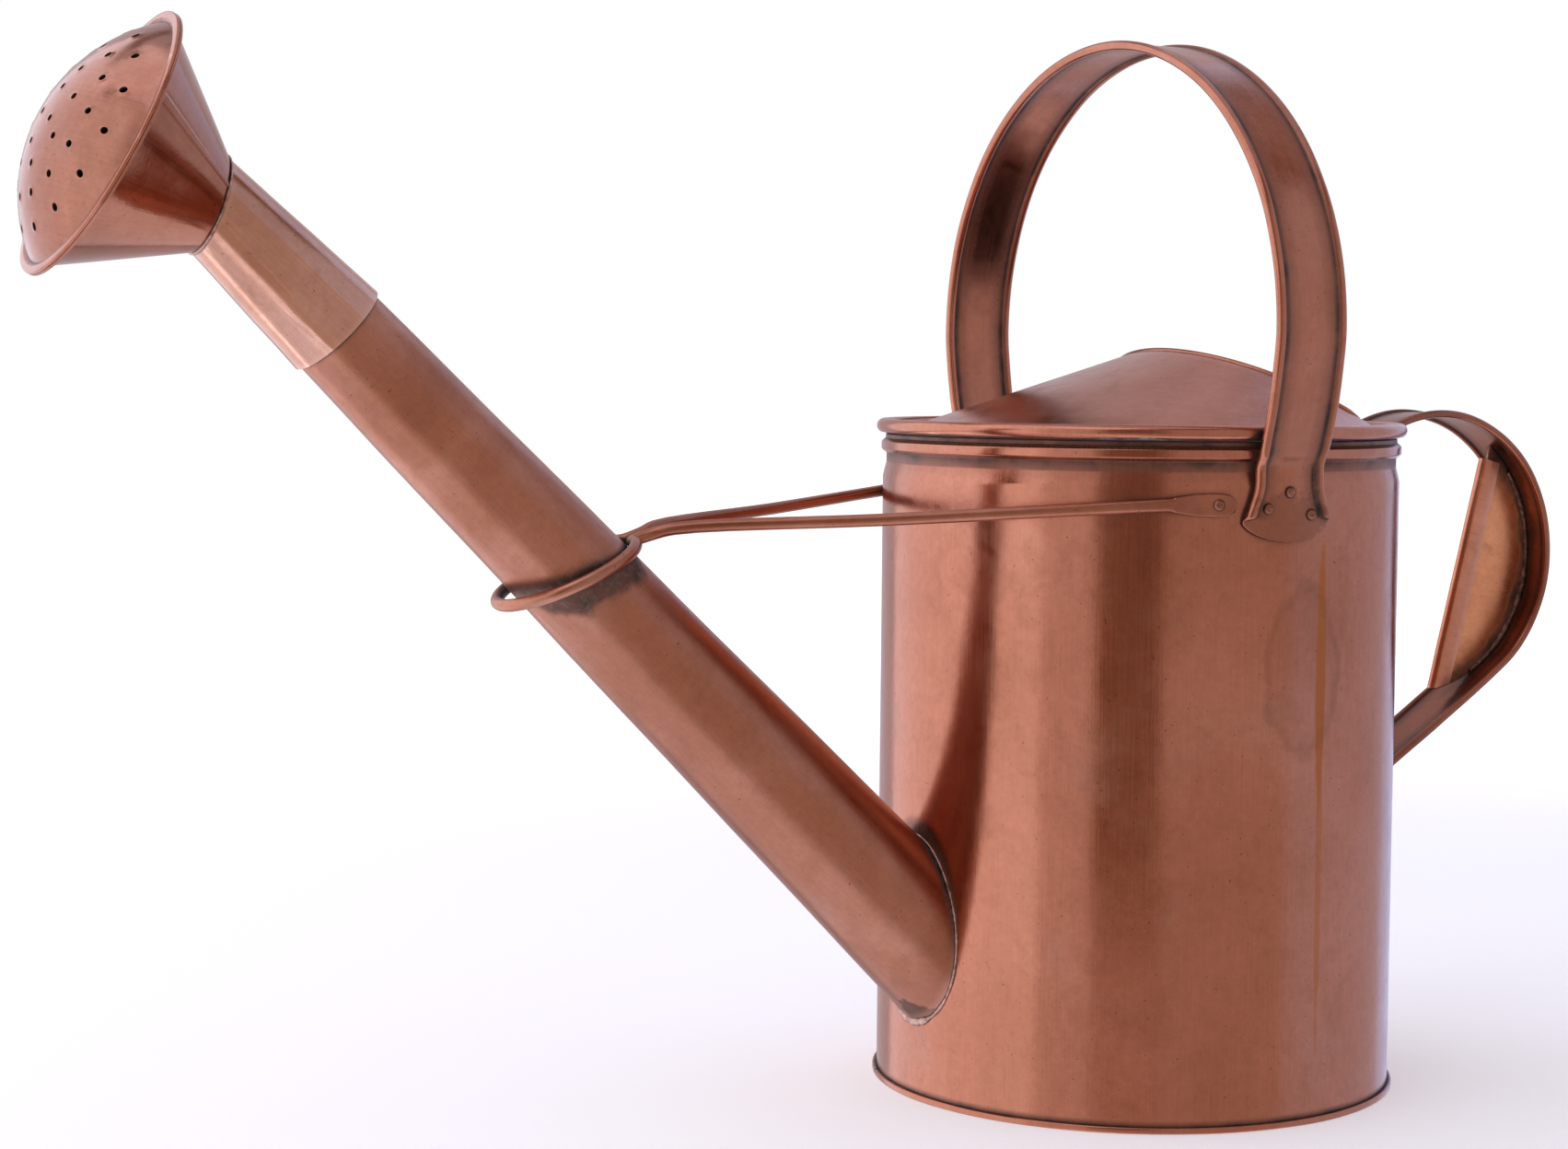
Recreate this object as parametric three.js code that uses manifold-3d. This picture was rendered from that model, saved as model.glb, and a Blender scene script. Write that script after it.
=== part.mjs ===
// A two-handled copper watering can: a rolled-rim body with a fixed splash hood, a braced spout in two
// lengths and a push-on rose. Millimetres, +Z up. The origin is on the body's axis at the surface that the
// can stands on; the spout leaves towards -X, the pouring handle is at +X, and the carrying handle spans Y.
import * as THREE from "three";
import { mergeVertices } from "three/addons/utils/BufferGeometryUtils.js";
import Module from "manifold-3d";

const wasm = await Module();
wasm.setup();

// ---- Driving dimensions -------------------------------------------------------------------------------
const SHEET = 1; // wall of every rolled sheet piece
const GAP = 0.35; // room between two pieces that touch
const CUT = 0.4; // how far a small outline's corners are cut back
const BODY_R = 100;
const SHOULDER_Z = 235; // where the full-radius wall ends
const SHOULDER_H = 2.7; // the wall starts to draw in over this height
const NECK_R = 98.6;
const NECK_Z = { low: 240.6, high: 243.8 };
const BEAD_R = 100.6;
const BEAD_Z = { low: 245.2, middle: 246.8, high: 248.2, end: 249.6 };
const COLLAR_R = 98.9; // the wall's radius above the bead
const SHELL_TOP_Z = 251.2;
const RIM_WIRE_R = 2.75; // the rolled rim's own half thickness
const RIM_R = 99.8;
const RIM_Z = 254.4;
const FOOT_BEAD_R = 101.7;
const FOOT_BEAD_H = 2.4;
const BOTTOM_R = 98.45;
const BOTTOM_EDGE_H = 6; // the bottom sheet's edge is turned up this high

const HOOD = { radius: 97.2, z: 251.3, rise: 33.3, crownX: 8, halfAngle: 133, arch: 0.85 };
const HEM_R = 1.1;

const SPOUT_Z = 65.84; // where the spout's axis meets the body's outer radius
const SPOUT_RISE = 43.97; // degrees above the horizontal
const SPOUT_R = 25.35; // radius at that point
const SPOUT_TAPER = 0.0243; // radius lost per millimetre along the axis
const SPOUT_TIP = 350;
const SOLDER_R = 1.1; // the seam round the spout's root
const SPOUT_TIP_CRIMP = 1.8; // the end inside the rose's sleeve is drawn in this much

const ROSE_START = 320; // the sleeve's open end, along the spout's axis
const ROSE_NECK = 380;
const ROSE_DROP = 1.4; // the neck sits this far below the spout's axis
const ROSE_RISE = 27.3; // the rose's own axis, degrees above the horizontal
const NECK_RISE = 19; // the neck's plane faces this far above the horizontal
const ROSE_DEPTH = 40.9; // neck to flange
const FLANGE_R = 48.6;
const FLANGE_HALF = 1.1;
const CONE_R = 45;
const ROSE_NECK_R = 16.9;
const FACE_R = 45.2;
const FACE_RISE = 20.9;
const HOLE_R = 1.2;
const HOLE_RINGS = [
  { radius: 0, count: 1, start: 0 },
  { radius: 10.5, count: 5, start: 327 },
  { radius: 18.7, count: 8, start: 333 },
  { radius: 27.8, count: 14, start: 351 },
  { radius: 36.5, count: 15, start: 337 },
];

const BRACE_R = 2.3;
const BRACE_RING = { x: -244.6, z: 203.6, tilt: 24.1, along: 26.8, across: 24.4 };
const BRACE_ARM = { outX: -139.7, outY: 43.2, outZ: 222.6, inX: -206, inY: 8.4, inZ: 218.8 };
const BRACE_THROAT = { x: -213, y: 4.4, z: 216.8 }; // where the arms turn into the loop
const BRACE_RIVET = { angle: 71.5, z: 228.6 }; // angle from the spout's side towards either flank
const BRACE_PAD = { thickness: 1.4, half: 4.1, startAngle: 60.5, endAngle: 75 };

const BAIL_X = -4.8; // the carrying handle stands a little towards the spout
const BAIL_W = 30.5;
const BAIL_BEAD = 1.9;
const BAIL_SHEET = 1.4;
const BAIL_LEG = [[101.2, 240.5], [102.3, 244], [104.2, 249], [105.8, 254.5], [108.4, 264], [111, 278]];
const BAIL_ARCH = { z: 292, across: 112.5, up: 108.9 };
const BAIL_TAB = { top: 244.3, corner: 224, bottom: 215.2, halfTop: 15, halfCorner: 18.6, thickness: 1.6 };
const BAIL_TAB_BEAD_R = 1.6;
const BAIL_RIVETS = [["upper", 0, 233.2], ["left", -9, 227.2], ["right", 9.6, 225]]; // name, x from centre, z
const RIVET_R = 2;
const RIVET_H = 1.3;

const GRIP_W = 27;
const GRIP_BEAD = 1.6;
const GRIP_ARC = { x: 141.7, z: 201.9, radius: 58 };
const GRIP_SLOPE = 33.7; // the lower run's slope, degrees
const GRIP_END_X = 102.1;
const GRIP_TOP = [[0, 224], [0, 232], [0.2, 239], [1.6, 243.4]]; // the upper end: x from GRIP_END_X, and z
const GRIP_FOOT = [[4, 0], [0.4, -5], [0, -12], [0, -19]]; // the lower end, from GRIP_END_X and its bend
const WEB_T = 1.2;
const CHANNEL = { x: 173.4, z: 241.2, footX: 148.4, footZ: 147.1, depth: 8.4, half: 2.6, nose: 1.5 };
const WEB_EDGE = 3; // the web starts this far behind the channel's front

// ---- Materials ----------------------------------------------------------------------------------------
const copper = (name, color, roughness) =>
  new THREE.MeshStandardMaterial({ name, color, roughness, metalness: 1 });
const bodyCopper = copper("body_copper", 0xa86a4d, 0.38);
const darkCopper = copper("dark_copper", 0x7c4530, 0.42);
const brightCopper = copper("bright_copper", 0xb87857, 0.34);
const solder = copper("solder", 0x6f6a66, 0.5);

// ---- Helpers ------------------------------------------------------------------------------------------
const group = new THREE.Group();
const vec = (x, y, z) => new THREE.Vector3(x, y, z);
const rad = THREE.MathUtils.degToRad;

// Keeps only merged positions, so that a boolean or a check sees one closed skin.
function bare(geometry) {
  const copy = geometry.clone();
  copy.deleteAttribute("normal");
  copy.deleteAttribute("uv");
  return mergeVertices(copy, 1e-4);
}

function addMesh(name, geometry, material) {
  const closed = bare(geometry);
  closed.computeVertexNormals();
  const mesh = new THREE.Mesh(closed, material);
  mesh.name = name;
  group.add(mesh);
  return mesh;
}

function toSolid(geometry) {
  const merged = bare(geometry);
  return new wasm.Manifold(
    new wasm.Mesh({
      numProp: 3,
      vertProperties: new Float32Array(merged.attributes.position.array),
      triVerts: new Uint32Array(merged.index.array),
    }),
  );
}

function fromSolid(solid) {
  const mesh = solid.getMesh();
  const geometry = new THREE.BufferGeometry();
  geometry.setAttribute("position", new THREE.BufferAttribute(mesh.vertProperties, 3));
  geometry.setIndex(new THREE.BufferAttribute(mesh.triVerts, 1));
  return geometry;
}

// Joins equal rings of points into one closed body, either capped at both ends or closed on itself.
function loft(rings, closesOnItself) {
  const count = rings[0].length;
  const index = [];
  const spans = closesOnItself ? rings.length : rings.length - 1;
  for (let i = 0; i < spans; i++) {
    const near = i * count;
    const far = ((i + 1) % rings.length) * count;
    for (let j = 0; j < count; j++) {
      const k = (j + 1) % count;
      index.push(near + j, near + k, far + k, near + j, far + k, far + j);
    }
  }
  if (!closesOnItself) {
    const last = (rings.length - 1) * count;
    for (let k = 1; k < count - 1; k++) {
      index.push(0, k + 1, k, last, last + k, last + k + 1);
    }
  }
  const points = rings.flat().flatMap((p) => [p.x, p.y, p.z]);
  const geometry = new THREE.BufferGeometry();
  geometry.setAttribute("position", new THREE.Float32BufferAttribute(points, 3));
  geometry.setIndex(index);
  return outward(geometry);
}

// Turns every face round if the skin encloses a negative volume.
function outward(geometry) {
  const position = geometry.attributes.position;
  const order = geometry.index.array;
  const corner = (i) => new THREE.Vector3().fromBufferAttribute(position, order[i]);
  let volume = 0;
  for (let i = 0; i < order.length; i += 3) {
    volume += corner(i).dot(corner(i + 1).cross(corner(i + 2)));
  }
  if (volume < 0) {
    for (let i = 0; i < order.length; i += 3) {
      [order[i], order[i + 1]] = [order[i + 1], order[i]];
    }
  }
  return geometry;
}

// Turns an [radius, height] outline that closes on itself about the Z axis.
function turned(outline, segments) {
  const points = outline.map(([r, z]) => new THREE.Vector2(r, z));
  const geometry = new THREE.LatheGeometry(points, segments);
  geometry.rotateX(Math.PI / 2);
  return outward(bare(geometry));
}

function extruded(shape, path, steps) {
  return outward(bare(new THREE.ExtrudeGeometry(shape, { steps, extrudePath: path, curveSegments: 2 })));
}

function circleShape(radius, sides) {
  const points = [];
  for (let i = 0; i < sides; i++) {
    const a = (i / sides) * 2 * Math.PI;
    points.push(new THREE.Vector2(radius * Math.cos(a), radius * Math.sin(a)));
  }
  return new THREE.Shape(points);
}

// A flat strap whose two long edges are rolled into beads; x is its width and y its thickness.
function strapShape(width, bead, sheet) {
  const points = [];
  const centre = width / 2 - bead;
  const open = Math.asin(sheet / 2 / bead);
  const arcSteps = 5;
  for (const side of [1, -1]) {
    for (let i = 0; i <= arcSteps; i++) {
      const a = -Math.PI + open + (i / arcSteps) * 2 * (Math.PI - open);
      points.push(new THREE.Vector2(side * (centre + bead * Math.cos(a)), side * bead * Math.sin(a)));
    }
  }
  return new THREE.Shape(points);
}

// A low domed rivet head that lies on a surface at the given point, its axis along the outward normal.
function rivetHead(radius, height) {
  const outline = [[0, 0], [radius, 0]];
  const steps = 3;
  for (let i = 1; i <= steps; i++) {
    const a = (i / steps) * (Math.PI / 2);
    outline.push([i === steps ? 0 : radius * Math.cos(a), height * Math.sin(a)]);
  }
  return turned(outline, 10);
}

function placeAlong(mesh, point, normal) {
  mesh.quaternion.setFromUnitVectors(vec(0, 0, 1), normal.clone().normalize());
  mesh.position.copy(point);
}

// ---- Body ---------------------------------------------------------------------------------------------
const spoutAxis = vec(-Math.cos(rad(SPOUT_RISE)), 0, Math.sin(rad(SPOUT_RISE)));
const spoutSide = vec(spoutAxis.z, 0, -spoutAxis.x);
const spoutRoot = vec(-BODY_R, 0, SPOUT_Z);
const spoutRadius = (s) => SPOUT_R - SPOUT_TAPER * s;

// The point at distance s along the spout's axis, moved out by r in the direction phi around it.
function onSpout(s, r, phi) {
  const p = spoutRoot.clone().addScaledVector(spoutAxis, s);
  p.addScaledVector(spoutSide, r * Math.cos(phi));
  p.y += r * Math.sin(phi);
  return p;
}

function buildBody() {
  const inner = BODY_R - SHEET;
  const outline = [
    [inner, 0], [BODY_R, 0], [BODY_R, SHOULDER_Z], [BODY_R - CUT, SHOULDER_Z + SHOULDER_H],
    [NECK_R, NECK_Z.low], [NECK_R, NECK_Z.high], [BEAD_R - CUT, BEAD_Z.low], [BEAD_R, BEAD_Z.middle],
    [BEAD_R - CUT, BEAD_Z.high], [COLLAR_R, BEAD_Z.end], [COLLAR_R, SHELL_TOP_Z],
    [NECK_R - SHEET, SHELL_TOP_Z], [NECK_R - SHEET, SHOULDER_Z + SHEET], [inner, SHOULDER_Z - SHEET],
    [inner, 0],
  ];
  const shell = toSolid(turned(outline, 72));
  const bore = [];
  const sides = 32;
  const reach = 60; // the bore runs this far either way from the wall
  for (const s of [-reach, reach]) {
    const ring = [];
    for (let i = 0; i < sides; i++) {
      ring.push(onSpout(s, spoutRadius(s) - SHEET - GAP, (i / sides) * 2 * Math.PI));
    }
    bore.push(ring);
  }
  addMesh("body_shell", fromSolid(shell.subtract(toSolid(loft(bore, false)))), bodyCopper);

  addMesh("bottom_disc", turned([[0, 0], [BOTTOM_R, 0], [BOTTOM_R, BOTTOM_EDGE_H],
    [BOTTOM_R - SHEET, BOTTOM_EDGE_H], [BOTTOM_R - SHEET, SHEET], [0, SHEET]], 64), darkCopper);
  const beadIn = BODY_R + GAP;
  addMesh("foot_bead", turned([[beadIn, 0], [FOOT_BEAD_R - CUT, 0], [FOOT_BEAD_R, 2 * CUT],
    [FOOT_BEAD_R, FOOT_BEAD_H - 2 * CUT], [FOOT_BEAD_R - CUT, FOOT_BEAD_H], [beadIn, FOOT_BEAD_H],
    [beadIn, 0]], 72), bodyCopper);
  const rim = [];
  const rimSides = 8;
  for (let i = 0; i <= rimSides; i++) {
    const a = ((i % rimSides) / rimSides) * 2 * Math.PI;
    rim.push([RIM_R + RIM_WIRE_R * Math.cos(a), RIM_Z + RIM_WIRE_R * Math.sin(a)]);
  }
  addMesh("rolled_rim", turned(rim, 72), bodyCopper);
}

// ---- Hood ---------------------------------------------------------------------------------------------
// t runs from -1 to 1 round the spout's side; the foot lies on the body's rim, the edge arches over it.
function hoodFoot(t) {
  const a = rad(HOOD.halfAngle) * t;
  return vec(-HOOD.radius * Math.cos(a), -HOOD.radius * Math.sin(a), HOOD.z);
}

function hoodEdge(t) {
  const corner = hoodFoot(1);
  const lift = Math.pow(Math.cos((t * Math.PI) / 2), HOOD.arch);
  return vec(
    corner.x + (HOOD.crownX - corner.x) * lift,
    corner.y * Math.sin((t * Math.PI) / 2),
    HOOD.z + HOOD.rise * lift,
  );
}

function buildHood() {
  const columns = 28;
  const reach = 0.985;
  const rings = [];
  for (let i = 0; i <= columns; i++) {
    const t = reach * ((2 * i) / columns - 1);
    const foot = hoodFoot(t);
    const edge = hoodEdge(t);
    const rows = [0, 0.5, 1].map((v) => foot.clone().lerp(edge, v));
    const under = rows.map((p) => vec(p.x, p.y, p.z - SHEET)).reverse();
    rings.push([...rows, ...under]);
  }
  addMesh("hood", loft(rings, false), bodyCopper);

  const hemReach = 0.86;
  const points = [];
  const count = 24;
  for (let i = 0; i <= count; i++) {
    const t = hemReach * ((2 * i) / count - 1);
    const edge = hoodEdge(t);
    const out = edge.clone().sub(hoodFoot(t)).normalize();
    points.push(edge.clone().addScaledVector(out, HEM_R + GAP).add(vec(0, 0, -SHEET / 2)));
  }
  addMesh("hood_hem", extruded(circleShape(HEM_R, 6), new THREE.CatmullRomCurve3(points), count), bodyCopper);
}

// ---- Spout --------------------------------------------------------------------------------------------
// Where the line at angle phi on a cone round the spout's axis meets a cylinder of the given radius.
function saddle(coneOffset, cylinderR, phi) {
  const start = onSpout(0, SPOUT_R + coneOffset, phi);
  const along = onSpout(1, SPOUT_R + coneOffset - SPOUT_TAPER, phi).sub(start);
  const a = along.x * along.x + along.y * along.y;
  const b = start.x * along.x + start.y * along.y;
  const c = start.x * start.x + start.y * start.y - cylinderR * cylinderR;
  const s = (-b + Math.sqrt(b * b - a * c)) / a;
  return start.addScaledVector(along, s);
}

// How far along the spout the joint between its two lengths lies, at angle phi around it. The joint is in the
// plane of the brace's ring.
function jointAt(phi) {
  const normal = vec(-Math.sin(rad(BRACE_RING.tilt)), 0, Math.cos(rad(BRACE_RING.tilt)));
  const centre = vec(BRACE_RING.x, 0, BRACE_RING.z);
  const onAxis = centre.sub(spoutRoot).dot(normal) / spoutAxis.dot(normal);
  const lean = spoutSide.dot(normal) / spoutAxis.dot(normal);
  return onAxis - lean * spoutRadius(onAxis) * Math.cos(phi);
}

function buildSpout() {
  const sides = 32;
  const lower = [];
  const upper = [];
  const crimpStart = ROSE_START - 2;
  for (let i = 0; i < sides; i++) {
    const phi = (i / sides) * 2 * Math.PI;
    const joint = jointAt(phi);
    const from = joint + GAP;
    lower.push([
      saddle(0, BODY_R + GAP, phi),
      onSpout(joint, spoutRadius(joint), phi),
      onSpout(joint, spoutRadius(joint) - SHEET, phi),
      saddle(-SHEET, BODY_R + GAP, phi),
    ]);
    upper.push([
      onSpout(from, spoutRadius(from), phi),
      onSpout(crimpStart, spoutRadius(crimpStart), phi),
      onSpout(SPOUT_TIP, spoutRadius(SPOUT_TIP) - SPOUT_TIP_CRIMP, phi),
      onSpout(SPOUT_TIP, spoutRadius(SPOUT_TIP) - SPOUT_TIP_CRIMP - SHEET, phi),
      onSpout(from, spoutRadius(from) - SHEET, phi),
    ]);
  }
  addMesh("spout_lower", loft(lower, true), bodyCopper);
  addMesh("spout_upper", loft(upper, true), bodyCopper);

  const stand = SOLDER_R + GAP;
  const rings = [];
  const count = 40;
  for (let i = 0; i < count; i++) {
    const phi = (i / count) * 2 * Math.PI;
    const middle = saddle(stand, BODY_R + stand, phi);
    const out = vec(middle.x, middle.y, 0).normalize();
    const around = saddle(stand, BODY_R + stand, phi + 0.05).sub(middle).normalize();
    const side = around.clone().cross(out).normalize();
    const section = [0, 1, 2, 3, 4].map((k) => {
      const a = (k / 5) * 2 * Math.PI;
      return middle.clone().addScaledVector(out, SOLDER_R * Math.cos(a))
        .addScaledVector(side, SOLDER_R * Math.sin(a));
    });
    rings.push(section);
  }
  addMesh("spout_solder_seam", loft(rings, true), solder);
}

// ---- Brace --------------------------------------------------------------------------------------------
function bracePoint(a, flank) {
  const along = BRACE_RING.along * Math.cos(a);
  return vec(
    BRACE_RING.x + along * Math.cos(rad(BRACE_RING.tilt)),
    flank * BRACE_RING.across * Math.sin(a),
    BRACE_RING.z + along * Math.sin(rad(BRACE_RING.tilt)),
  );
}

// The point on a cylinder about the body's axis, by the angle from the spout's side.
function onBody(radius, angle, z, flank) {
  return vec(-radius * Math.cos(rad(angle)), flank * radius * Math.sin(rad(angle)), z);
}

function buildBrace() {
  const clear = BODY_R + GAP;
  const pad = BRACE_PAD;
  const rodEnd = clear + pad.thickness + BRACE_R / 2;
  const arm = (flank) => [
    onBody(rodEnd, pad.startAngle + 2, BRACE_RIVET.z - CUT, flank),
    vec(BRACE_ARM.outX, flank * BRACE_ARM.outY, BRACE_ARM.outZ),
    vec(BRACE_ARM.inX, flank * BRACE_ARM.inY, BRACE_ARM.inZ),
    vec(BRACE_THROAT.x, flank * BRACE_THROAT.y, BRACE_THROAT.z),
  ];
  const loop = [];
  const open = 0.16; // how far the loop stays open, in radians from its inner end
  const count = 18;
  for (let i = 0; i <= count; i++) {
    const a = open + (i / count) * 2 * (Math.PI - open);
    loop.push(bracePoint(a, -1));
  }
  const path = new THREE.CatmullRomCurve3([...arm(-1), ...loop, ...arm(1).reverse()], false, "centripetal");
  let solid = toSolid(extruded(circleShape(BRACE_R, 7), path, 76));
  for (const flank of [-1, 1]) {
    const rings = [];
    const columns = 6;
    for (let i = 0; i <= columns; i++) {
      const angle = pad.startAngle + (i / columns) * (pad.endAngle - pad.startAngle);
      const half = i === 0 || i === columns ? BRACE_R : pad.half;
      const thick = i === 0 ? 2 * pad.thickness : pad.thickness;
      rings.push([
        onBody(clear, angle, BRACE_RIVET.z - half, flank),
        onBody(clear + thick, angle, BRACE_RIVET.z - half, flank),
        onBody(clear + thick, angle, BRACE_RIVET.z + half, flank),
        onBody(clear, angle, BRACE_RIVET.z + half, flank),
      ]);
    }
    solid = solid.add(toSolid(loft(rings, false)));
  }
  const keepOut = toSolid(new THREE.CylinderGeometry(clear, clear, 60, 96).rotateX(Math.PI / 2)
    .translate(0, 0, BRACE_RIVET.z));
  addMesh("brace_rod", fromSolid(solid.subtract(keepOut)), darkCopper);
  for (const flank of [-1, 1]) {
    const name = flank < 0 ? "brace_rivet_near" : "brace_rivet_far";
    const head = addMesh(name, rivetHead(RIVET_R, RIVET_H), darkCopper);
    const point = onBody(clear + pad.thickness + GAP, BRACE_RIVET.angle, BRACE_RIVET.z, flank);
    placeAlong(head, point, onBody(1, BRACE_RIVET.angle, 0, flank));
  }
}

// ---- Carrying handle ----------------------------------------------------------------------------------
function buildBail() {
  const points = BAIL_LEG.map(([y, z]) => vec(BAIL_X, -y, z));
  const count = 16;
  for (let i = 0; i <= count; i++) {
    const a = Math.PI - (i / count) * Math.PI;
    points.push(vec(BAIL_X, BAIL_ARCH.across * Math.cos(a), BAIL_ARCH.z + BAIL_ARCH.up * Math.sin(a)));
  }
  BAIL_LEG.toReversed().forEach(([y, z]) => points.push(vec(BAIL_X, y, z)));
  const path = new THREE.CatmullRomCurve3(points, false, "centripetal");
  let solid = toSolid(extruded(strapShape(BAIL_W, BAIL_BEAD, BAIL_SHEET), path, 56));

  const tab = BAIL_TAB;
  const beadR = BODY_R + GAP + tab.thickness + CUT / 2;
  for (const flank of [-1, 1]) {
    const rings = [];
    const columns = 10;
    for (let i = 0; i <= columns; i++) {
      const u = (2 * i) / columns - 1;
      const x = BAIL_X + tab.halfCorner * u;
      const bottom = tab.corner - (tab.corner - tab.bottom) * Math.sqrt(Math.max(0, 1 - u * u * 0.94));
      const taper = Math.max(0, Math.abs(u) * tab.halfCorner - tab.halfTop);
      const top = tab.top - (taper / (tab.halfCorner - tab.halfTop)) * (tab.top - tab.corner) * 0.9;
      const at = (r, z) => vec(x, flank * Math.sqrt(r * r - x * x), z);
      const inner = BODY_R + GAP;
      const outer = inner + tab.thickness;
      rings.push([at(inner, bottom), at(outer, bottom), at(outer, top), at(inner, top)]);
    }
    solid = solid.add(toSolid(loft(rings, false)));
    for (const edge of [-1, 1]) {
      const at = (dx, r, z) => {
        const x = BAIL_X + edge * dx;
        return vec(x, flank * Math.sqrt(r * r - x * x), z);
      };
      const bead = new THREE.CatmullRomCurve3([
        vec(BAIL_X + edge * (BAIL_W / 2 - BAIL_BEAD), flank * beadR, tab.top),
        at(tab.halfTop - 1.5 * BAIL_TAB_BEAD_R, beadR, tab.top - 0.3 * (tab.top - tab.corner)),
        at(tab.halfTop - 0.5 * BAIL_TAB_BEAD_R, beadR, tab.top - 0.65 * (tab.top - tab.corner)),
        at(tab.halfCorner - 0.9 * BAIL_TAB_BEAD_R, beadR, tab.corner),
      ]);
      solid = solid.add(toSolid(extruded(circleShape(BAIL_TAB_BEAD_R, 8), bead, 6)));
    }
  }
  addMesh("carry_handle", fromSolid(solid), bodyCopper);

  for (const flank of [-1, 1]) {
    for (const [place, dx, z] of BAIL_RIVETS) {
      const x = BAIL_X + dx;
      const out = BODY_R + GAP + tab.thickness + GAP;
      const y = flank * Math.sqrt(out * out - x * x);
      const name = `handle_rivet_${flank < 0 ? "near" : "far"}_${place}`;
      const head = addMesh(name, rivetHead(RIVET_R, RIVET_H), bodyCopper);
      placeAlong(head, vec(x, y, z), vec(x, y, 0));
    }
  }
}

// ---- Pouring handle -----------------------------------------------------------------------------------
function buildPouringHandle() {
  const arc = GRIP_ARC;
  const points = GRIP_TOP.map(([dx, z]) => vec(GRIP_END_X + dx, 0, z));
  const first = rad(128); // where the arc leaves the upper end
  const last = rad(GRIP_SLOPE - 90);
  const count = 15;
  for (let i = 0; i <= count; i++) {
    const a = first + (i / count) * (last - first);
    points.push(vec(arc.x + arc.radius * Math.cos(a), 0, arc.z + arc.radius * Math.sin(a)));
  }
  const turn = points[points.length - 1];
  const footX = GRIP_END_X + GRIP_FOOT[0][0];
  const footZ = turn.z - (turn.x - footX) * Math.tan(rad(GRIP_SLOPE));
  points.push(vec((turn.x + footX) / 2, 0, (turn.z + footZ) / 2));
  GRIP_FOOT.forEach(([dx, dz]) => points.push(vec(GRIP_END_X + dx, 0, footZ + dz)));
  const path = new THREE.CatmullRomCurve3(points, false, "centripetal");
  addMesh("pouring_handle", extruded(strapShape(GRIP_W, GRIP_BEAD, SHEET), path, 48), darkCopper);

  const inner = arc.radius - SHEET / 2 - GAP;
  const discAt = (radius, half) => toSolid(new THREE.CylinderGeometry(radius, radius, 2 * half, 72)
    .translate(arc.x, 0, arc.z));
  const channelLine = vec(CHANNEL.x - CHANNEL.footX, 0, CHANNEL.z - CHANNEL.footZ);
  const length = channelLine.length();
  const lean = Math.atan2(channelLine.x, channelLine.z);
  // A box between two distances behind the channel's front, half a thickness either side of its middle, and
  // between two distances up from its foot.
  const block = (from, to, half, start, end) => {
    const box = new THREE.BoxGeometry(to - from, 2 * half, end - start);
    box.translate((from + to) / 2, 0, (start + end) / 2);
    box.rotateY(lean);
    return toSolid(box.translate(CHANNEL.footX, 0, CHANNEL.footZ));
  };
  const spare = 15; // past both ends, which the strap's circle then trims
  const top = length + spare;
  const web = discAt(inner, WEB_T / 2).intersect(block(WEB_EDGE, 2 * arc.radius, WEB_T, -spare, top));
  addMesh("handle_web", fromSolid(web), bodyCopper);
  const slotStart = WEB_EDGE - GAP;
  const slot = block(slotStart, arc.radius, WEB_T / 2 + GAP, -2 * spare, top + spare);
  const flanges = block(slotStart / 2, CHANNEL.depth, CHANNEL.half, -spare, top);
  const nose = block(0, slotStart, CHANNEL.nose, -spare, top);
  const squareEnd = block(-spare, spare, GRIP_W, -2 * spare, length);
  const trimmed = flanges.add(nose).intersect(discAt(inner - SHEET, GRIP_W)).intersect(squareEnd);
  addMesh("handle_grip", fromSolid(trimmed.subtract(slot)), brightCopper);
}

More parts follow.
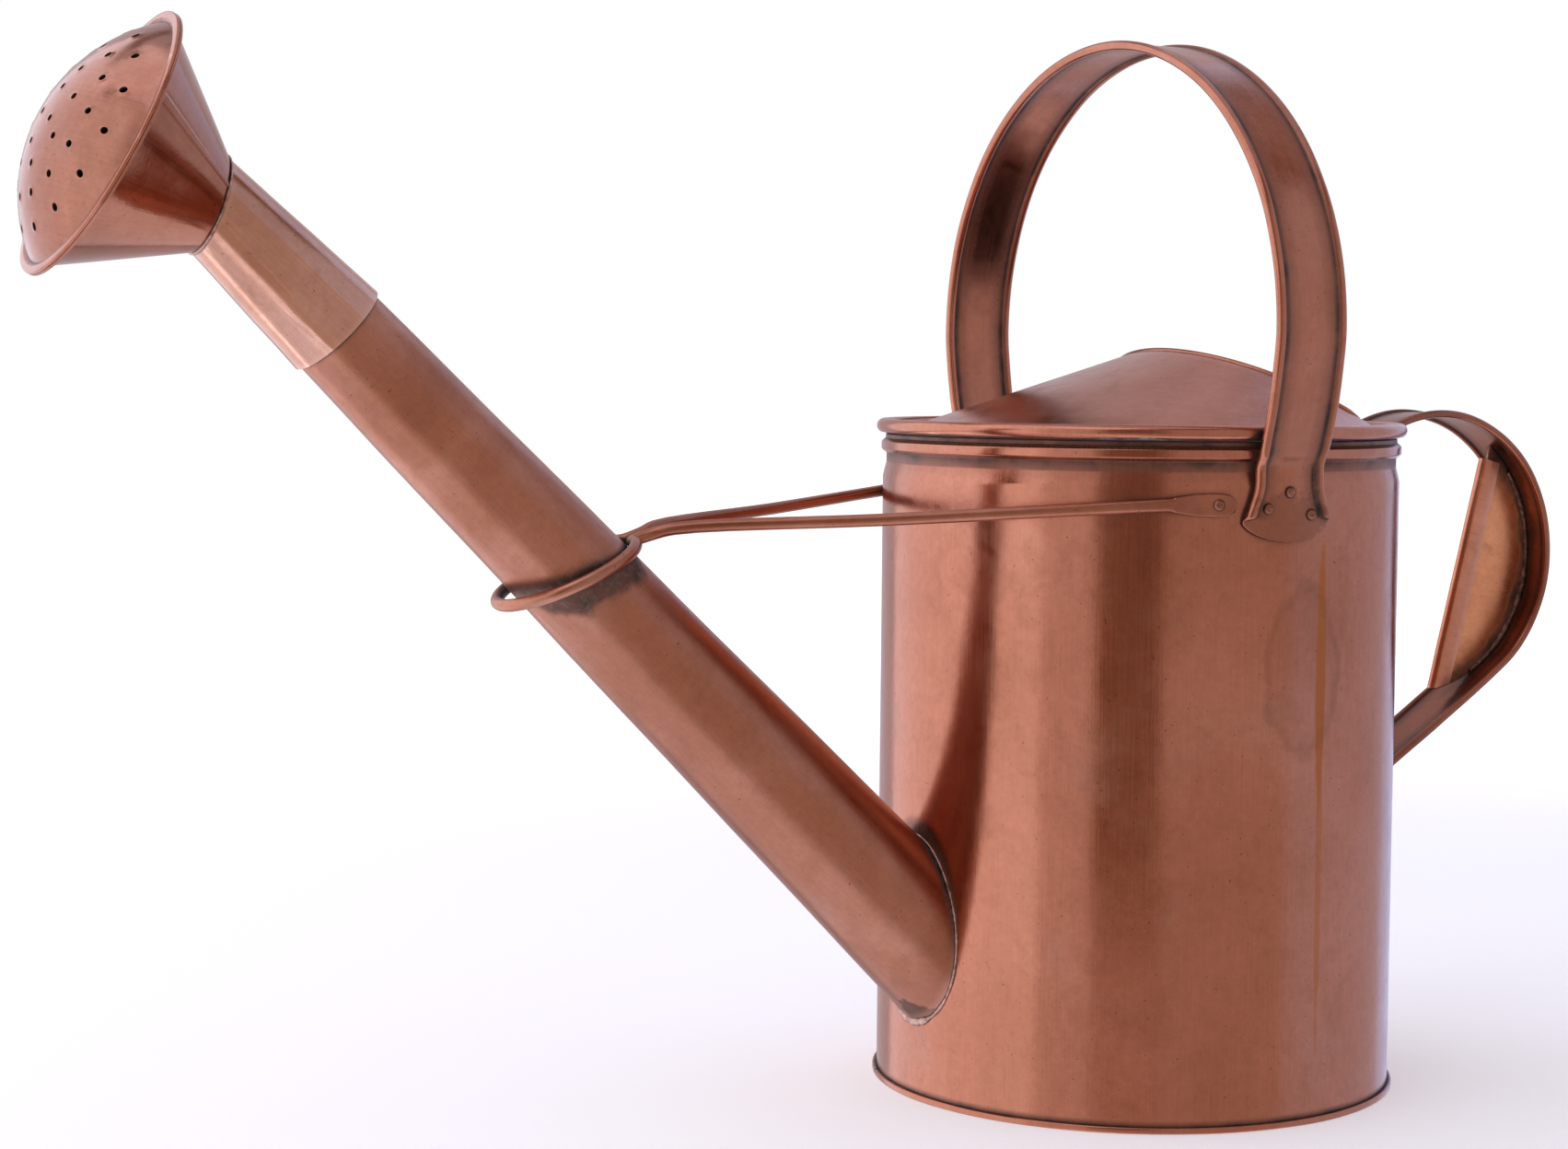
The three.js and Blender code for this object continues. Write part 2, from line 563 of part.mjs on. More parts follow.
// ---- Rose ---------------------------------------------------------------------------------------------
function buildRose() {
  const roseAxis = vec(-Math.cos(rad(ROSE_RISE)), 0, Math.sin(rad(ROSE_RISE)));
  const neck = onSpout(ROSE_NECK, -ROSE_DROP, 0);
  const flange = neck.clone().addScaledVector(roseAxis, ROSE_DEPTH);
  const sideOf = (axis) => vec(axis.z, 0, -axis.x);
  const ringPoint = (centre, axis, r, phi) => centre.clone()
    .addScaledVector(sideOf(axis), r * Math.cos(phi)).add(vec(0, r * Math.sin(phi), 0));
  const mitre = vec(-Math.cos(rad(NECK_RISE)), 0, Math.sin(rad(NECK_RISE)));
  const coneEnd = flange.clone().addScaledVector(roseAxis, -FLANGE_HALF - GAP);
  const sides = 36;
  const neckEnd = neck.clone().addScaledVector(spoutAxis, -GAP);
  const sleeveIn = spoutRadius(ROSE_START) + GAP;
  const seamR = 0.6;

  const sleeve = [];
  const cone = [];
  const collar = [];
  for (let i = 0; i < sides; i++) {
    const phi = (i / sides) * 2 * Math.PI;
    sleeve.push([
      onSpout(ROSE_START, sleeveIn + SHEET, phi),
      ringPoint(neckEnd, mitre, ROSE_NECK_R, phi),
      ringPoint(neckEnd, mitre, ROSE_NECK_R - SHEET, phi),
      onSpout(ROSE_START, sleeveIn, phi),
    ]);
    cone.push([
      ringPoint(neck, mitre, ROSE_NECK_R, phi),
      ringPoint(coneEnd, roseAxis, CONE_R, phi),
      ringPoint(coneEnd, roseAxis, CONE_R - SHEET, phi),
      ringPoint(neck, mitre, ROSE_NECK_R - SHEET, phi),
    ]);
    const centre = ringPoint(neck, mitre, ROSE_NECK_R + GAP + seamR, phi);
    const out = ringPoint(neck, mitre, 1, phi).sub(neck);
    collar.push([0, 1, 2, 3, 4].map((k) => {
      const a = (k / 5) * 2 * Math.PI;
      return centre.clone().addScaledVector(out, seamR * Math.cos(a))
        .addScaledVector(spoutAxis, seamR * Math.sin(a) - CUT);
    }));
  }
  addMesh("rose_sleeve", loft(sleeve, true), brightCopper);
  addMesh("rose_cone", loft(cone, true), darkCopper);
  addMesh("rose_neck_seam", loft(collar, true), solder);

  const brimIn = FACE_R + GAP;
  const brim = [[brimIn, -FLANGE_HALF], [FLANGE_R - 2 * CUT, -FLANGE_HALF], [FLANGE_R, -CUT], [FLANGE_R, CUT],
    [FLANGE_R - 2 * CUT, FLANGE_HALF], [brimIn, FLANGE_HALF], [brimIn, -FLANGE_HALF]];
  const rim = addMesh("rose_brim", turned(brim, 60), bodyCopper);
  placeAlong(rim, flange, roseAxis);

  // The perforated face is part of a sphere that stands FACE_RISE proud of the brim.
  const sphereR = (FACE_R * FACE_R + FACE_RISE * FACE_RISE) / (2 * FACE_RISE);
  const sphereAngle = Math.asin(FACE_R / sphereR);
  const rings = 5;
  const arcOf = (radius, k) => {
    const a = sphereAngle * (1 - k / rings);
    return [k === rings ? 0 : radius * Math.sin(a), radius * Math.cos(a) - sphereR + FACE_RISE];
  };
  const face = [];
  for (let k = 0; k <= rings; k++) {
    face.push(arcOf(sphereR, k));
  }
  const back = [];
  for (let k = rings; k >= 0; k--) {
    back.push(arcOf(sphereR - SHEET, k));
  }
  let dome = toSolid(turned([...back, ...face], 32));
  for (const ring of HOLE_RINGS) {
    for (let i = 0; i < ring.count; i++) {
      const psi = rad(ring.start + (360 * i) / ring.count);
      const drill = new THREE.CylinderGeometry(HOLE_R, HOLE_R, 8, 6);
      drill.rotateX(Math.PI / 2);
      const lean = Math.asin(ring.radius / sphereR);
      const normal = vec(Math.sin(lean) * Math.cos(psi), Math.sin(lean) * Math.sin(psi), Math.cos(lean));
      drill.applyQuaternion(new THREE.Quaternion().setFromUnitVectors(vec(0, 0, 1), normal));
      const at = normal.clone().multiplyScalar(sphereR);
      drill.translate(at.x, at.y, at.z - sphereR + FACE_RISE);
      dome = dome.subtract(toSolid(drill));
    }
  }
  const faceMesh = addMesh("rose_face", fromSolid(dome), brightCopper);
  placeAlong(faceMesh, flange, roseAxis);
}

buildBody();
buildHood();
buildSpout();
buildBrace();
buildBail();
buildPouringHandle();
buildRose();

export default group;
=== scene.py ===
"""A copper watering can with a splash hood, a braced spout, a push-on rose and two strap handles.

Shapes are worked out in millimetres and written to meshes in metres. The origin is on the body's axis in the
plane of the floor, the spout leaves towards -X, the pouring handle is at +X, and the carrying handle spans Y.
"""
import random
from math import asin, atan2, ceil, copysign, cos, exp, hypot, pi, radians, sin, sqrt, tan

import bmesh
import bpy
from mathutils import Matrix, Vector, geometry, noise


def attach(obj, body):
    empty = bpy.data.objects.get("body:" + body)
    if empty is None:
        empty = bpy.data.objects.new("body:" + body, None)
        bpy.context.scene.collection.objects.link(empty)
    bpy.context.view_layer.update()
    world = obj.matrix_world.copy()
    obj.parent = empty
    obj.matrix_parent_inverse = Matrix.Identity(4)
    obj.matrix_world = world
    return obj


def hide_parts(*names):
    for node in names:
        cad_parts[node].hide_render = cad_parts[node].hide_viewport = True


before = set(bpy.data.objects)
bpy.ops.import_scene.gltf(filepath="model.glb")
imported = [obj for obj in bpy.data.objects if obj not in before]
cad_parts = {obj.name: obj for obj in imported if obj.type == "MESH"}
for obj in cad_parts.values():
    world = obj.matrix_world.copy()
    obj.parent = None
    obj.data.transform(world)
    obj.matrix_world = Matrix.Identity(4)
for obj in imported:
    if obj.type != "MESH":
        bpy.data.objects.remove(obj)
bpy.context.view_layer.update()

MM = 0.001
TURN = 2 * pi

# ---- Dimensions, in millimetres and degrees --------------
SHEET = 1.0
GAP = 0.35
BODY_R = 100.0
SHOULDER_Z = 235.0
NECK_R, NECK_LOW_Z, NECK_HIGH_Z = 98.6, 240.2, 243.9
BEAD_R, BEAD_LOW_Z, BEAD_HIGH_Z = 100.6, 245.3, 248.2
COLLAR_R, COLLAR_Z = 98.9, 249.7
SHELL_TOP_Z = 251.2
RIM_WIRE_R = 2.75
RIM_R = 99.8
RIM_Z = 254.4
FOOT_BEAD_R = 101.7
FOOT_BEAD_H = 2.4
FOOT_SEAM = 158.0

HOOD_R, HOOD_Z, HOOD_RISE = 97.2, 251.3, 33.3
HOOD_CROWN_X, HOOD_HALF_ANGLE, HOOD_ARCH = 8.0, 133.0, 0.85
HOOD_REACH = 0.985  # the share of the half angle that the sheet and its solder cover

SPOUT_Z = 65.84
SPOUT_RISE = radians(43.97)
SPOUT_R = 25.35
SPOUT_TAPER = 0.0243
SPOUT_TIP = 350.0
SPOUT_TIP_CRIMP = 1.8

ROSE_START = 320.0
ROSE_NECK = 380.0
ROSE_DROP = 1.4
ROSE_RISE = radians(27.3)
NECK_RISE = radians(19)
ROSE_DEPTH = 40.9
FLANGE_R = 48.6
FLANGE_HALF = 1.1
CONE_R = 45.0
ROSE_NECK_R = 16.9
FACE_R = 45.2
FACE_RISE = 20.9
HOLE_R = 1.2
HOLE_RINGS = ((0, 1, 0), (10.5, 5, 327), (18.7, 8, 333), (27.8, 14, 351), (36.5, 15, 337))

BRACE_R = 2.3
BRACE_RING_X, BRACE_RING_Z, BRACE_RING_TILT = -244.6, 203.6, radians(24.1)
BRACE_RING_ALONG, BRACE_RING_ACROSS = 26.8, 24.4
BRACE_ARM = ((-139.7, 43.2, 222.6), (-206, 8.4, 218.8), (-213, 4.4, 216.8))
BRACE_RIVET_ANGLE, BRACE_RIVET_Z = 71.5, 228.6
PAD_ANGLES = (75.1, 74.6, 73.8, 72.5, 70.5, 68.5, 66.5, 64.5, 62.5, 61)
PAD_HALF = (1.4, 2.7, 3.6, 4.1, 4.2, 4.1, 3.9, 3.4, 2.9, 2.5)
PAD_THICK = (0.7, 0.75, 0.8, 0.8, 0.8, 0.8, 0.9, 1.1, 1.5, 1.9)

BAIL_X, BAIL_W, BAIL_BEAD, BAIL_SHEET = -4.8, 30.5, 1.9, 1.4
BAIL_ARCH_Z, BAIL_ACROSS, BAIL_UP = 292.0, 112.5, 108.9
BAIL_SIDE = ((101.5, 241), (102.3, 244), (104.2, 249), (105.8, 254.5), (108.4, 264), (111, 278))
TAB_CORNER_Z, TAB_BOTTOM_Z, TAB_HALF, TAB_NECK_HALF = 224.0, 215.2, 18.6, 14.5
TAB_DEPTH = TAB_CORNER_Z - TAB_BOTTOM_Z
TAB_R = 101.2
BAIL_RIVETS = (("upper", 0, 233.2), ("left", -9, 227.2), ("right", 9.6, 225))

GRIP_W, GRIP_BEAD = 27.0, 1.6
GRIP_X, GRIP_Z, GRIP_R = 141.7, 201.9, 58.0
GRIP_SLOPE = radians(33.7)
GRIP_END_X = 102.1
GRIP_TOP = ((0, 224), (0, 232), (0.2, 239), (1.6, 243.4))  # x from GRIP_END_X, and z
GRIP_FOOT = ((4, 0), (0.4, -5), (0, -12), (0, -19))  # from GRIP_END_X and the lower bend
WEB_T, WEB_EDGE = 1.2, 3
CHANNEL_TOP, CHANNEL_FOOT = (173.4, 241.2), (148.4, 147.1)
CHANNEL_DEPTH, CHANNEL_HALF = 8.4, 2.6


def vec(x, y, z):
    return Vector((x, y, z))


def rising(angle):
    """The direction towards -X that rises at the angle."""
    return vec(-cos(angle), 0, sin(angle))


def above(axis):
    """The direction square to an axis that lies in the plane of the spout, on its upper side."""
    return vec(axis.z, 0, -axis.x)


UP = vec(0, 0, 1)
ACROSS = vec(0, 1, 0)
SPOUT_AXIS = rising(SPOUT_RISE)
SPOUT_SIDE = above(SPOUT_AXIS)
SPOUT_ROOT = vec(-BODY_R, 0, SPOUT_Z)
ROSE_AXIS = rising(ROSE_RISE)
ROSE_SIDE = above(ROSE_AXIS)
NECK_SIDE = above(rising(NECK_RISE))
NECK = SPOUT_ROOT + SPOUT_AXIS * ROSE_NECK - SPOUT_SIDE * ROSE_DROP
FLANGE = NECK + ROSE_AXIS * ROSE_DEPTH


# ---- Mesh helpers ----------------------------------------
def smoothstep(low, high, value):
    t = min(1.0, max(0.0, (value - low) / (high - low)))
    return t * t * (3 - 2 * t)


def rough(point, size, seed=0.0):
    """Smooth noise from -1 to 1 that changes over the given size in millimetres."""
    return noise.noise(point / size + vec(seed, seed * 0.7, -seed))


def rounded(corners, steps=5):
    """A closed outline of 2-D points through (x, z, fillet radius) corners."""
    outline = []
    for i, (x, z, radius) in enumerate(corners):
        corner = Vector((x, z))
        back = Vector(corners[i - 1][:2]) - corner
        ahead = Vector(corners[(i + 1) % len(corners)][:2]) - corner
        if radius == 0:
            outline.append(corner)
            continue
        reach = radius / tan(back.angle(ahead) / 2)
        reach = min(reach, 0.48 * back.length, 0.48 * ahead.length)
        start = corner + back.normalized() * reach
        end = corner + ahead.normalized() * reach
        for k in range(steps + 1):
            t = k / steps
            outline.append(start * (1 - t) ** 2 + corner * 2 * t * (1 - t) + end * t * t)
    return outline


def divided(outline, longest):
    """The same closed outline with no side longer than the given length."""
    points = []
    for i, start in enumerate(outline):
        end = outline[(i + 1) % len(outline)]
        pieces = max(1, ceil((end - start).length / longest))
        points += [start.lerp(end, k / pieces) for k in range(pieces)]
    return points


def spline(points, per_span):
    """Points along a centripetal Catmull-Rom curve through the given points."""
    knots = [points[0] * 2 - points[1], *points, points[-1] * 2 - points[-2]]
    curve = []
    for a, b, c, d in zip(knots, knots[1:], knots[2:], knots[3:]):
        t1 = sqrt((b - a).length)
        t2 = t1 + sqrt((c - b).length)
        t3 = t2 + sqrt((d - c).length)
        for k in range(per_span):
            t = t1 + (t2 - t1) * k / per_span
            ab = a.lerp(b, t / t1)
            bc = b.lerp(c, (t - t1) / (t2 - t1))
            cd = c.lerp(d, (t - t2) / (t3 - t2))
            early, late = ab.lerp(bc, t / t2), bc.lerp(cd, (t - t1) / (t3 - t1))
            curve.append(early.lerp(late, (t - t1) / (t2 - t1)))
    return curve + [points[-1]]


def tangents(points, loop=False):
    last = len(points) - 1
    found = []
    for i in range(len(points)):
        ahead = points[(i + 1) % len(points)] if loop else points[min(i + 1, last)]
        back = points[i - 1] if loop else points[max(i - 1, 0)]
        found.append((ahead - back).normalized())
    return found


def loft(rings, loop=False, caps=True):
    """Skins equal rings of points: points, faces and each face corner's UV in metres, V from ring to ring."""
    count = len(rings[0])
    spans = len(rings) if loop else len(rings) - 1
    middle = rings[len(rings) // 2]
    around = [0.0]
    for j in range(count):
        around.append(around[-1] + (middle[(j + 1) % count] - middle[j]).length * MM)
    along = [0.0]
    for i in range(spans):
        near, far = rings[i], rings[(i + 1) % len(rings)]
        along.append(along[-1] + sum((b - a).length for a, b in zip(near, far)) / count * MM)
    faces, uvs = [], []
    for i in range(spans):
        near, far = i * count, ((i + 1) % len(rings)) * count
        for j in range(count):
            k = (j + 1) % count
            faces.append((near + j, near + k, far + k, far + j))
            uvs.append([(around[j], along[i]), (around[j + 1], along[i]),
                        (around[j + 1], along[i + 1]), (around[j], along[i + 1])])
    if caps and not loop:
        for start in (0, spans * count):
            faces.append(tuple(start + j for j in range(count)))
            uvs.append([(around[j], along[0]) for j in range(count)])
    return [p for ring in rings for p in ring], faces, uvs


def new_object(name, data):
    made = bpy.data.objects.new(name, data)
    bpy.context.scene.collection.objects.link(made)
    return made


def build(name, skins, material, nodes, body="can", crease=40, groove=()):
    """Makes one piece from closed skins, hangs it on its body and hides the CAD nodes whose place it takes.

    groove gives each point's share of the black laid along lines: patina at the spout's joint, painted shade
    beside the straps' beads, and dark lines in the body's and web's grooves.
    """
    verts, faces, uvs = [], [], []
    for points, skin_faces, skin_uvs in skins:
        base = len(verts)
        verts += [p * MM for p in points]
        faces += [[base + i for i in face] for face in skin_faces]
        uvs += skin_uvs
    mesh = bpy.data.meshes.new(name)
    mesh.from_pydata(verts, [], faces)
    layer = mesh.uv_layers.new(name="sheet")
    layer.data.foreach_set("uv", [c for face in uvs for uv in face for c in uv])
    if groove:
        mesh.attributes.new("groove", "FLOAT", "POINT").data.foreach_set("value", groove)
    work = bmesh.new()
    work.from_mesh(mesh)
    bmesh.ops.recalc_face_normals(work, faces=work.faces)
    work.to_mesh(mesh)
    work.free()
    mesh.materials.append(material)
    mesh.shade_smooth()
    mesh.set_sharp_from_angle(angle=radians(crease))
    piece = new_object(name, mesh)
    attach(piece, body)
    if nodes:
        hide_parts(*nodes)
    return piece


def lathe(outline, angles, dent=0.0, dent_size=60.0, loop=True):
    """Turns an (r, z) outline about Z through the given angles, with shallow dents in its radius."""
    rings = []
    for angle in angles:
        c, s = cos(angle), sin(angle)
        ring = []
        for r, z in outline:
            here = vec(c * BODY_R, s * BODY_R, z * 0.35)
            r += dent * rough(here, dent_size)
            ring.append(vec(r * c, r * s, z))
        rings.append(ring)
    return loft(rings, loop=loop)


def full_circle(count):
    return [TURN * i / count for i in range(count)]


def ring_point(centre, side, r, phi):
    """The point r from a centre in the direction phi, from side round towards +Y."""
    return centre + side * (r * cos(phi)) + vec(0, r * sin(phi), 0)


def polar(radius, angle):
    return Vector((radius * cos(angle), radius * sin(angle)))


def oval(centre, u, u_radius, v, v_radius, count):
    return [centre + u * (u_radius * cos(a)) + v * (v_radius * sin(a)) for a in full_circle(count)]


def strap_section(half, bead, sheet, arc_steps=12):
    """Outline of a flat strap with rolled edges, as (across, out, 1 on a bead or 0 on the sheet, painted
    shade in the hollow beside the bead).
    """
    centre = half - bead
    opening = asin(min(1.0, sheet / 2 / bead))
    inner = centre - bead * cos(opening)
    # The last value paints shade in the hollows where the beads meet the sheet, widest on the sheet beside
    # them.
    flat = ((0.035, 1), (0.1, 0.45), (0.3, 0.04), (0.5, 0), (0.7, 0.04), (0.9, 0.45), (0.965, 1))
    section = []
    for side in (1, -1):
        for i in range(arc_steps + 1):
            a = -pi + opening + i / arc_steps * 2 * (pi - opening)
            shade_and_oxide = max(0.0, 1 - 0.45 * min(i, arc_steps - i))
            section.append((side * (centre + bead * cos(a)), side * bead * sin(a), 1, shade_and_oxide))
        for part, shade_and_oxide in flat:
            section.append((side * inner * (1 - 2 * part), side * sheet / 2, 0, shade_and_oxide))
    return section


def rivet(point, normal, radius, height, seed):
    """A domed head with a slightly hammered top, on a surface at the point."""
    normal = normal.normalized()
    turn = UP.rotation_difference(normal).to_matrix()
    sides, rows = 28, 7
    rings = []
    for k in range(rows + 1):
        a = k / rows * pi / 2
        ring = []
        for angle in full_circle(sides):
            wobble = 1 + 0.05 * rough(vec(cos(angle), sin(angle), 0), 0.8, seed)
            r = max(0.02, radius * wobble * cos(a) ** 0.8)
            high = height * sin(a) * (1 + 0.12 * cos(angle + seed))
            ring.append(point + turn @ vec(r * cos(angle), r * sin(angle), high))
        rings.append(ring)
    return loft(rings)


# ---- Materials -------------------------------------------
ORANGE = (0.44, 0.135, 0.035)
BROWN = (0.17, 0.075, 0.045)
RUST = (0.33, 0.12, 0.062)
HAZE = (0.40, 0.255, 0.205)
SOOT = (0.06, 0.03, 0.02)
# Black for the oxide in hollows, and for painted shade in corners and beside beads.
BLACK_OXIDE_AND_SHADE = (0.022, 0.013, 0.010)
FLUX = (0.03, 0.022, 0.02)
VERDIGRIS = (0.055, 0.085, 0.085)
PALE_SALT = (0.62, 0.64, 0.58)
WORN_EDGE = (0.80, 0.47, 0.35)

BODY_TONES = ((0.44, 0.170, 0.102), (0.49, 0.195, 0.120), (0.54, 0.225, 0.145))
DARK_TONES = ((0.34, 0.13, 0.078), (0.42, 0.17, 0.10), (0.50, 0.22, 0.14))
# Darker copper for the pouring handle's strap: painted shade for its shaded inner face.
SHADED_GRIP_TONES = ((0.28, 0.100, 0.058), (0.36, 0.135, 0.080), (0.45, 0.185, 0.115))
# Lighter copper for the rose's sleeve: a painted highlight over the whole sleeve.
LIT_SLEEVE_TONES = ((0.48, 0.235, 0.155), (0.57, 0.295, 0.20), (0.64, 0.35, 0.25))
FACE_TONES = ((0.36, 0.150, 0.098), (0.42, 0.185, 0.122), (0.49, 0.230, 0.156))
WEB_TONES = ((0.72, 0.28, 0.125), (0.84, 0.34, 0.155), (0.92, 0.40, 0.190))
CHANNEL_TONES = ((0.50, 0.190, 0.105), (0.60, 0.240, 0.135), (0.70, 0.300, 0.175))
RIVET_TONES = ((0.26, 0.115, 0.075), (0.34, 0.150, 0.100), (0.42, 0.190, 0.130))

# Brush marks: how finely they divide the sheet's U and V.
ROUND_BODY = (26.0, 1700.0, 1.0)
ALONG_TUBE = (24.0, 1500.0, 1.0)
ALONG_STRAP = (1700.0, 24.0, 1.0)


class Shader:
    """A node tree whose inputs are given as numbers, colours or other nodes' outputs."""

    def __init__(self, owner):
        owner.use_nodes = True
        self.tree = owner.node_tree
        self.tree.nodes.clear()

    def add(self, kind, inputs=(), **settings):
        made = self.tree.nodes.new("ShaderNode" + kind)
        for key, value in settings.items():
            setattr(made, key, value)
        for key, value in dict(inputs).items():
            if isinstance(value, bpy.types.NodeSocket):
                self.tree.links.new(value, made.inputs[key])
            else:
                made.inputs[key].default_value = value
        return made

    def calc(self, operation, a, b, clamp=False):
        return self.add("Math", {0: a, 1: b}, operation=operation, use_clamp=clamp).outputs[0]

    def plus(self, a, b, clamp=False):
        return self.calc("ADD", a, b, clamp)

    def times(self, a, b):
        return self.calc("MULTIPLY", a, b)

    def ramp(self, value, low, high, to_low=0.0, to_high=1.0):
        return self.add("MapRange", {"Value": value, "From Min": low, "From Max": high, "To Min": to_low,
                                     "To Max": to_high}, interpolation_type="SMOOTHSTEP").outputs[0]

    def noise(self, vector, scale, detail=3.0, roughness=0.5, distortion=0.0):
        return self.add("TexNoise", {"Vector": vector, "Scale": scale, "Detail": detail,
                                     "Roughness": roughness, "Distortion": distortion}).outputs["Fac"]

    def grey(self, value):
        return self.add("CombineColor", {"Red": value, "Green": value, "Blue": value}).outputs[0]

    def mix(self, factor, a, b, blend="MIX"):
        a, b = ((*colour, 1) if isinstance(colour, tuple) else colour for colour in (a, b))
        return self.add("Mix", {0: factor, 6: a, 7: b}, data_type="RGBA", blend_type=blend).outputs[2]

    def surface(self, inputs):
        self.add("OutputMaterial", {"Surface": self.add("BsdfPrincipled", inputs).outputs[0]})

    def blot(self, where, centre, size, ragged=0.5, scale=120.0):
        """1 inside a ragged patch round a point, 0 outside it."""
        offset = self.add("VectorMath", {0: where, 1: centre}, operation="SUBTRACT").outputs[0]
        scaled = self.add("VectorMath", {0: offset, 1: size}, operation="DIVIDE").outputs[0]
        length = self.add("VectorMath", {0: scaled}, operation="LENGTH").outputs["Value"]
        swing = self.calc("SUBTRACT", self.noise(where, scale, 5.0, 0.65), 0.5)
        edge = self.times(swing, 2 * ragged)
        return self.ramp(self.plus(length, edge), 1.0, 0.72)


def copper(name, tones, gloss, grain=(1600.0, 26.0, 1.0), corner_shade_and_oxide=1.0, patches=(), tides=(), tarnish=0.22,
           verdigris=0.0):
    """Copper sheet: mottled tarnish, brush marks along the sheet, oxidised black with painted shade in the
    corners and pale worn edges.

    tones are the dark, middle and light metal; grain stretches the brush marks over the sheet's U and V;
    patches are (centre, size, colour, strength, raggedness) and tides are the (centre, size) of dried drips,
    both in metres; verdigris is the share of blue-green specks in the black of the corners and grooves.
    """
    material = bpy.data.materials.new(name)
    s = Shader(material)
    coords = s.add("TexCoord")
    where = coords.outputs["Object"]
    sheet = s.add("Mapping", {"Vector": coords.outputs["UV"], "Scale": grain}).outputs[0]
    broad = s.noise(where, 13.0, 3.0, 0.55, 0.4)
    cloud = s.noise(where, 62.0, 6.0, 0.62, 0.6)
    mottle = s.noise(where, 310.0, 5.0, 0.7)
    fine = s.noise(where, 1500.0, 2.0, 0.6)
    brush = s.noise(sheet, 1.0, 3.0, 0.65)

    colour = s.mix(s.ramp(broad, 0.33, 0.52), tones[0], tones[1])
    colour = s.mix(s.ramp(broad, 0.5, 0.7), colour, tones[2])
    rust = s.ramp(cloud, 0.5, 0.68, 0.0, tarnish)
    colour = s.mix(rust, colour, RUST)
    haze = s.ramp(s.noise(where, 27.0, 5.0, 0.6), 0.54, 0.72, 0.0, 0.16)
    colour = s.mix(haze, colour, HAZE)
    colour = s.mix(1.0, colour, s.add("CombineColor", {
        "Red": s.ramp(mottle, 0.25, 0.75, 0.93, 1.06), "Green": s.ramp(mottle, 0.25, 0.75, 0.92, 1.06),
        "Blue": s.ramp(mottle, 0.25, 0.75, 0.91, 1.06)}).outputs[0], "MULTIPLY")
    streak = s.ramp(brush, 0.3, 0.7, 0.95, 1.04)
    colour = s.mix(1.0, colour, s.grey(streak), "MULTIPLY")
    specks = s.ramp(s.noise(where, 780.0, 1.0, 0.5), 0.735, 0.78)
    colour = s.mix(s.times(specks, 0.55), colour, SOOT)

    stained = 0.0
    for centre, size, tint, strength, ragged in patches:
        mask = s.times(s.blot(where, centre, size, ragged), strength)
        colour = s.mix(mask, colour, tint)
        stained = s.calc("MAXIMUM", mask, stained)

    for centre, size in tides:
        wet = s.blot(where, centre, size, 0.3, 70.0)
        line = s.times(s.times(wet, s.calc("SUBTRACT", 1.0, wet)), 0.8)
        colour = s.mix(s.plus(line, s.times(wet, 0.1)), colour, BROWN)

    # Painted shade: ambient occlusion blackens and dulls the metal in corners, at contacts and round rivets.
    # This stands both for the can's oxide there and for the shade that falls there.
    corner = s.add("AmbientOcclusion", {"Distance": 0.0065}, samples=8).outputs["AO"]
    shade_and_oxide_mask = s.ramp(s.plus(corner, s.ramp(cloud, 0.3, 0.7, -0.08, 0.08)), 0.9, 0.48, 0.0, corner_shade_and_oxide)
    # The groove attribute adds the same black along given lines: patina at the spout's joint, painted shade
    # beside the straps' beads, and dark lines in the body's and web's grooves.
    groove = s.times(s.add("Attribute", attribute_name="groove").outputs["Fac"],
                    s.ramp(cloud, 0.3, 0.7, 0.95, 0.6))
    crust = s.ramp(s.noise(where, 420.0, 4.0, 0.65), 0.5, 0.62, 0.0, verdigris)
    shade_and_oxide = s.mix(crust, BLACK_OXIDE_AND_SHADE, VERDIGRIS)
    shade_and_oxide_mask = s.calc("MAXIMUM", shade_and_oxide_mask, groove)
    colour = s.mix(shade_and_oxide_mask, colour, shade_and_oxide)
    worn = s.ramp(s.add("NewGeometry").outputs["Pointiness"], 0.53, 0.62, 0.0, 0.55)
    colour = s.mix(s.times(worn, s.calc("SUBTRACT", 1.0, shade_and_oxide_mask)), colour, WORN_EDGE)

    rough_base = s.ramp(cloud, 0.3, 0.7, gloss - 0.03, gloss + 0.05)
    rough_grain = s.plus(rough_base, s.ramp(brush, 0.3, 0.7, -0.02, 0.025))
    rough_haze = s.plus(rough_grain, s.times(haze, 0.25))
    spoiled = s.calc("MAXIMUM", shade_and_oxide_mask, s.times(stained, 0.5))
    roughness = s.plus(rough_haze, s.times(spoiled, 0.3), clamp=True)
    metallic = s.ramp(shade_and_oxide_mask, 0.0, 1.0, 1.0, 0.35)

    height = s.plus(s.times(brush, 0.35), s.times(fine, 0.3))
    height = s.plus(height, s.times(mottle, 0.55))
    bump = s.add("Bump", {"Height": height, "Strength": 0.55, "Distance": 0.00006})
    swell = s.add("Bump", {"Height": s.noise(where, 34.0, 2.0, 0.5), "Strength": 0.5, "Distance": 0.0003,
                           "Normal": bump.outputs[0]})
    s.surface({"Base Color": colour, "Roughness": roughness, "Metallic": metallic,
               "Normal": swell.outputs[0]})
    return material


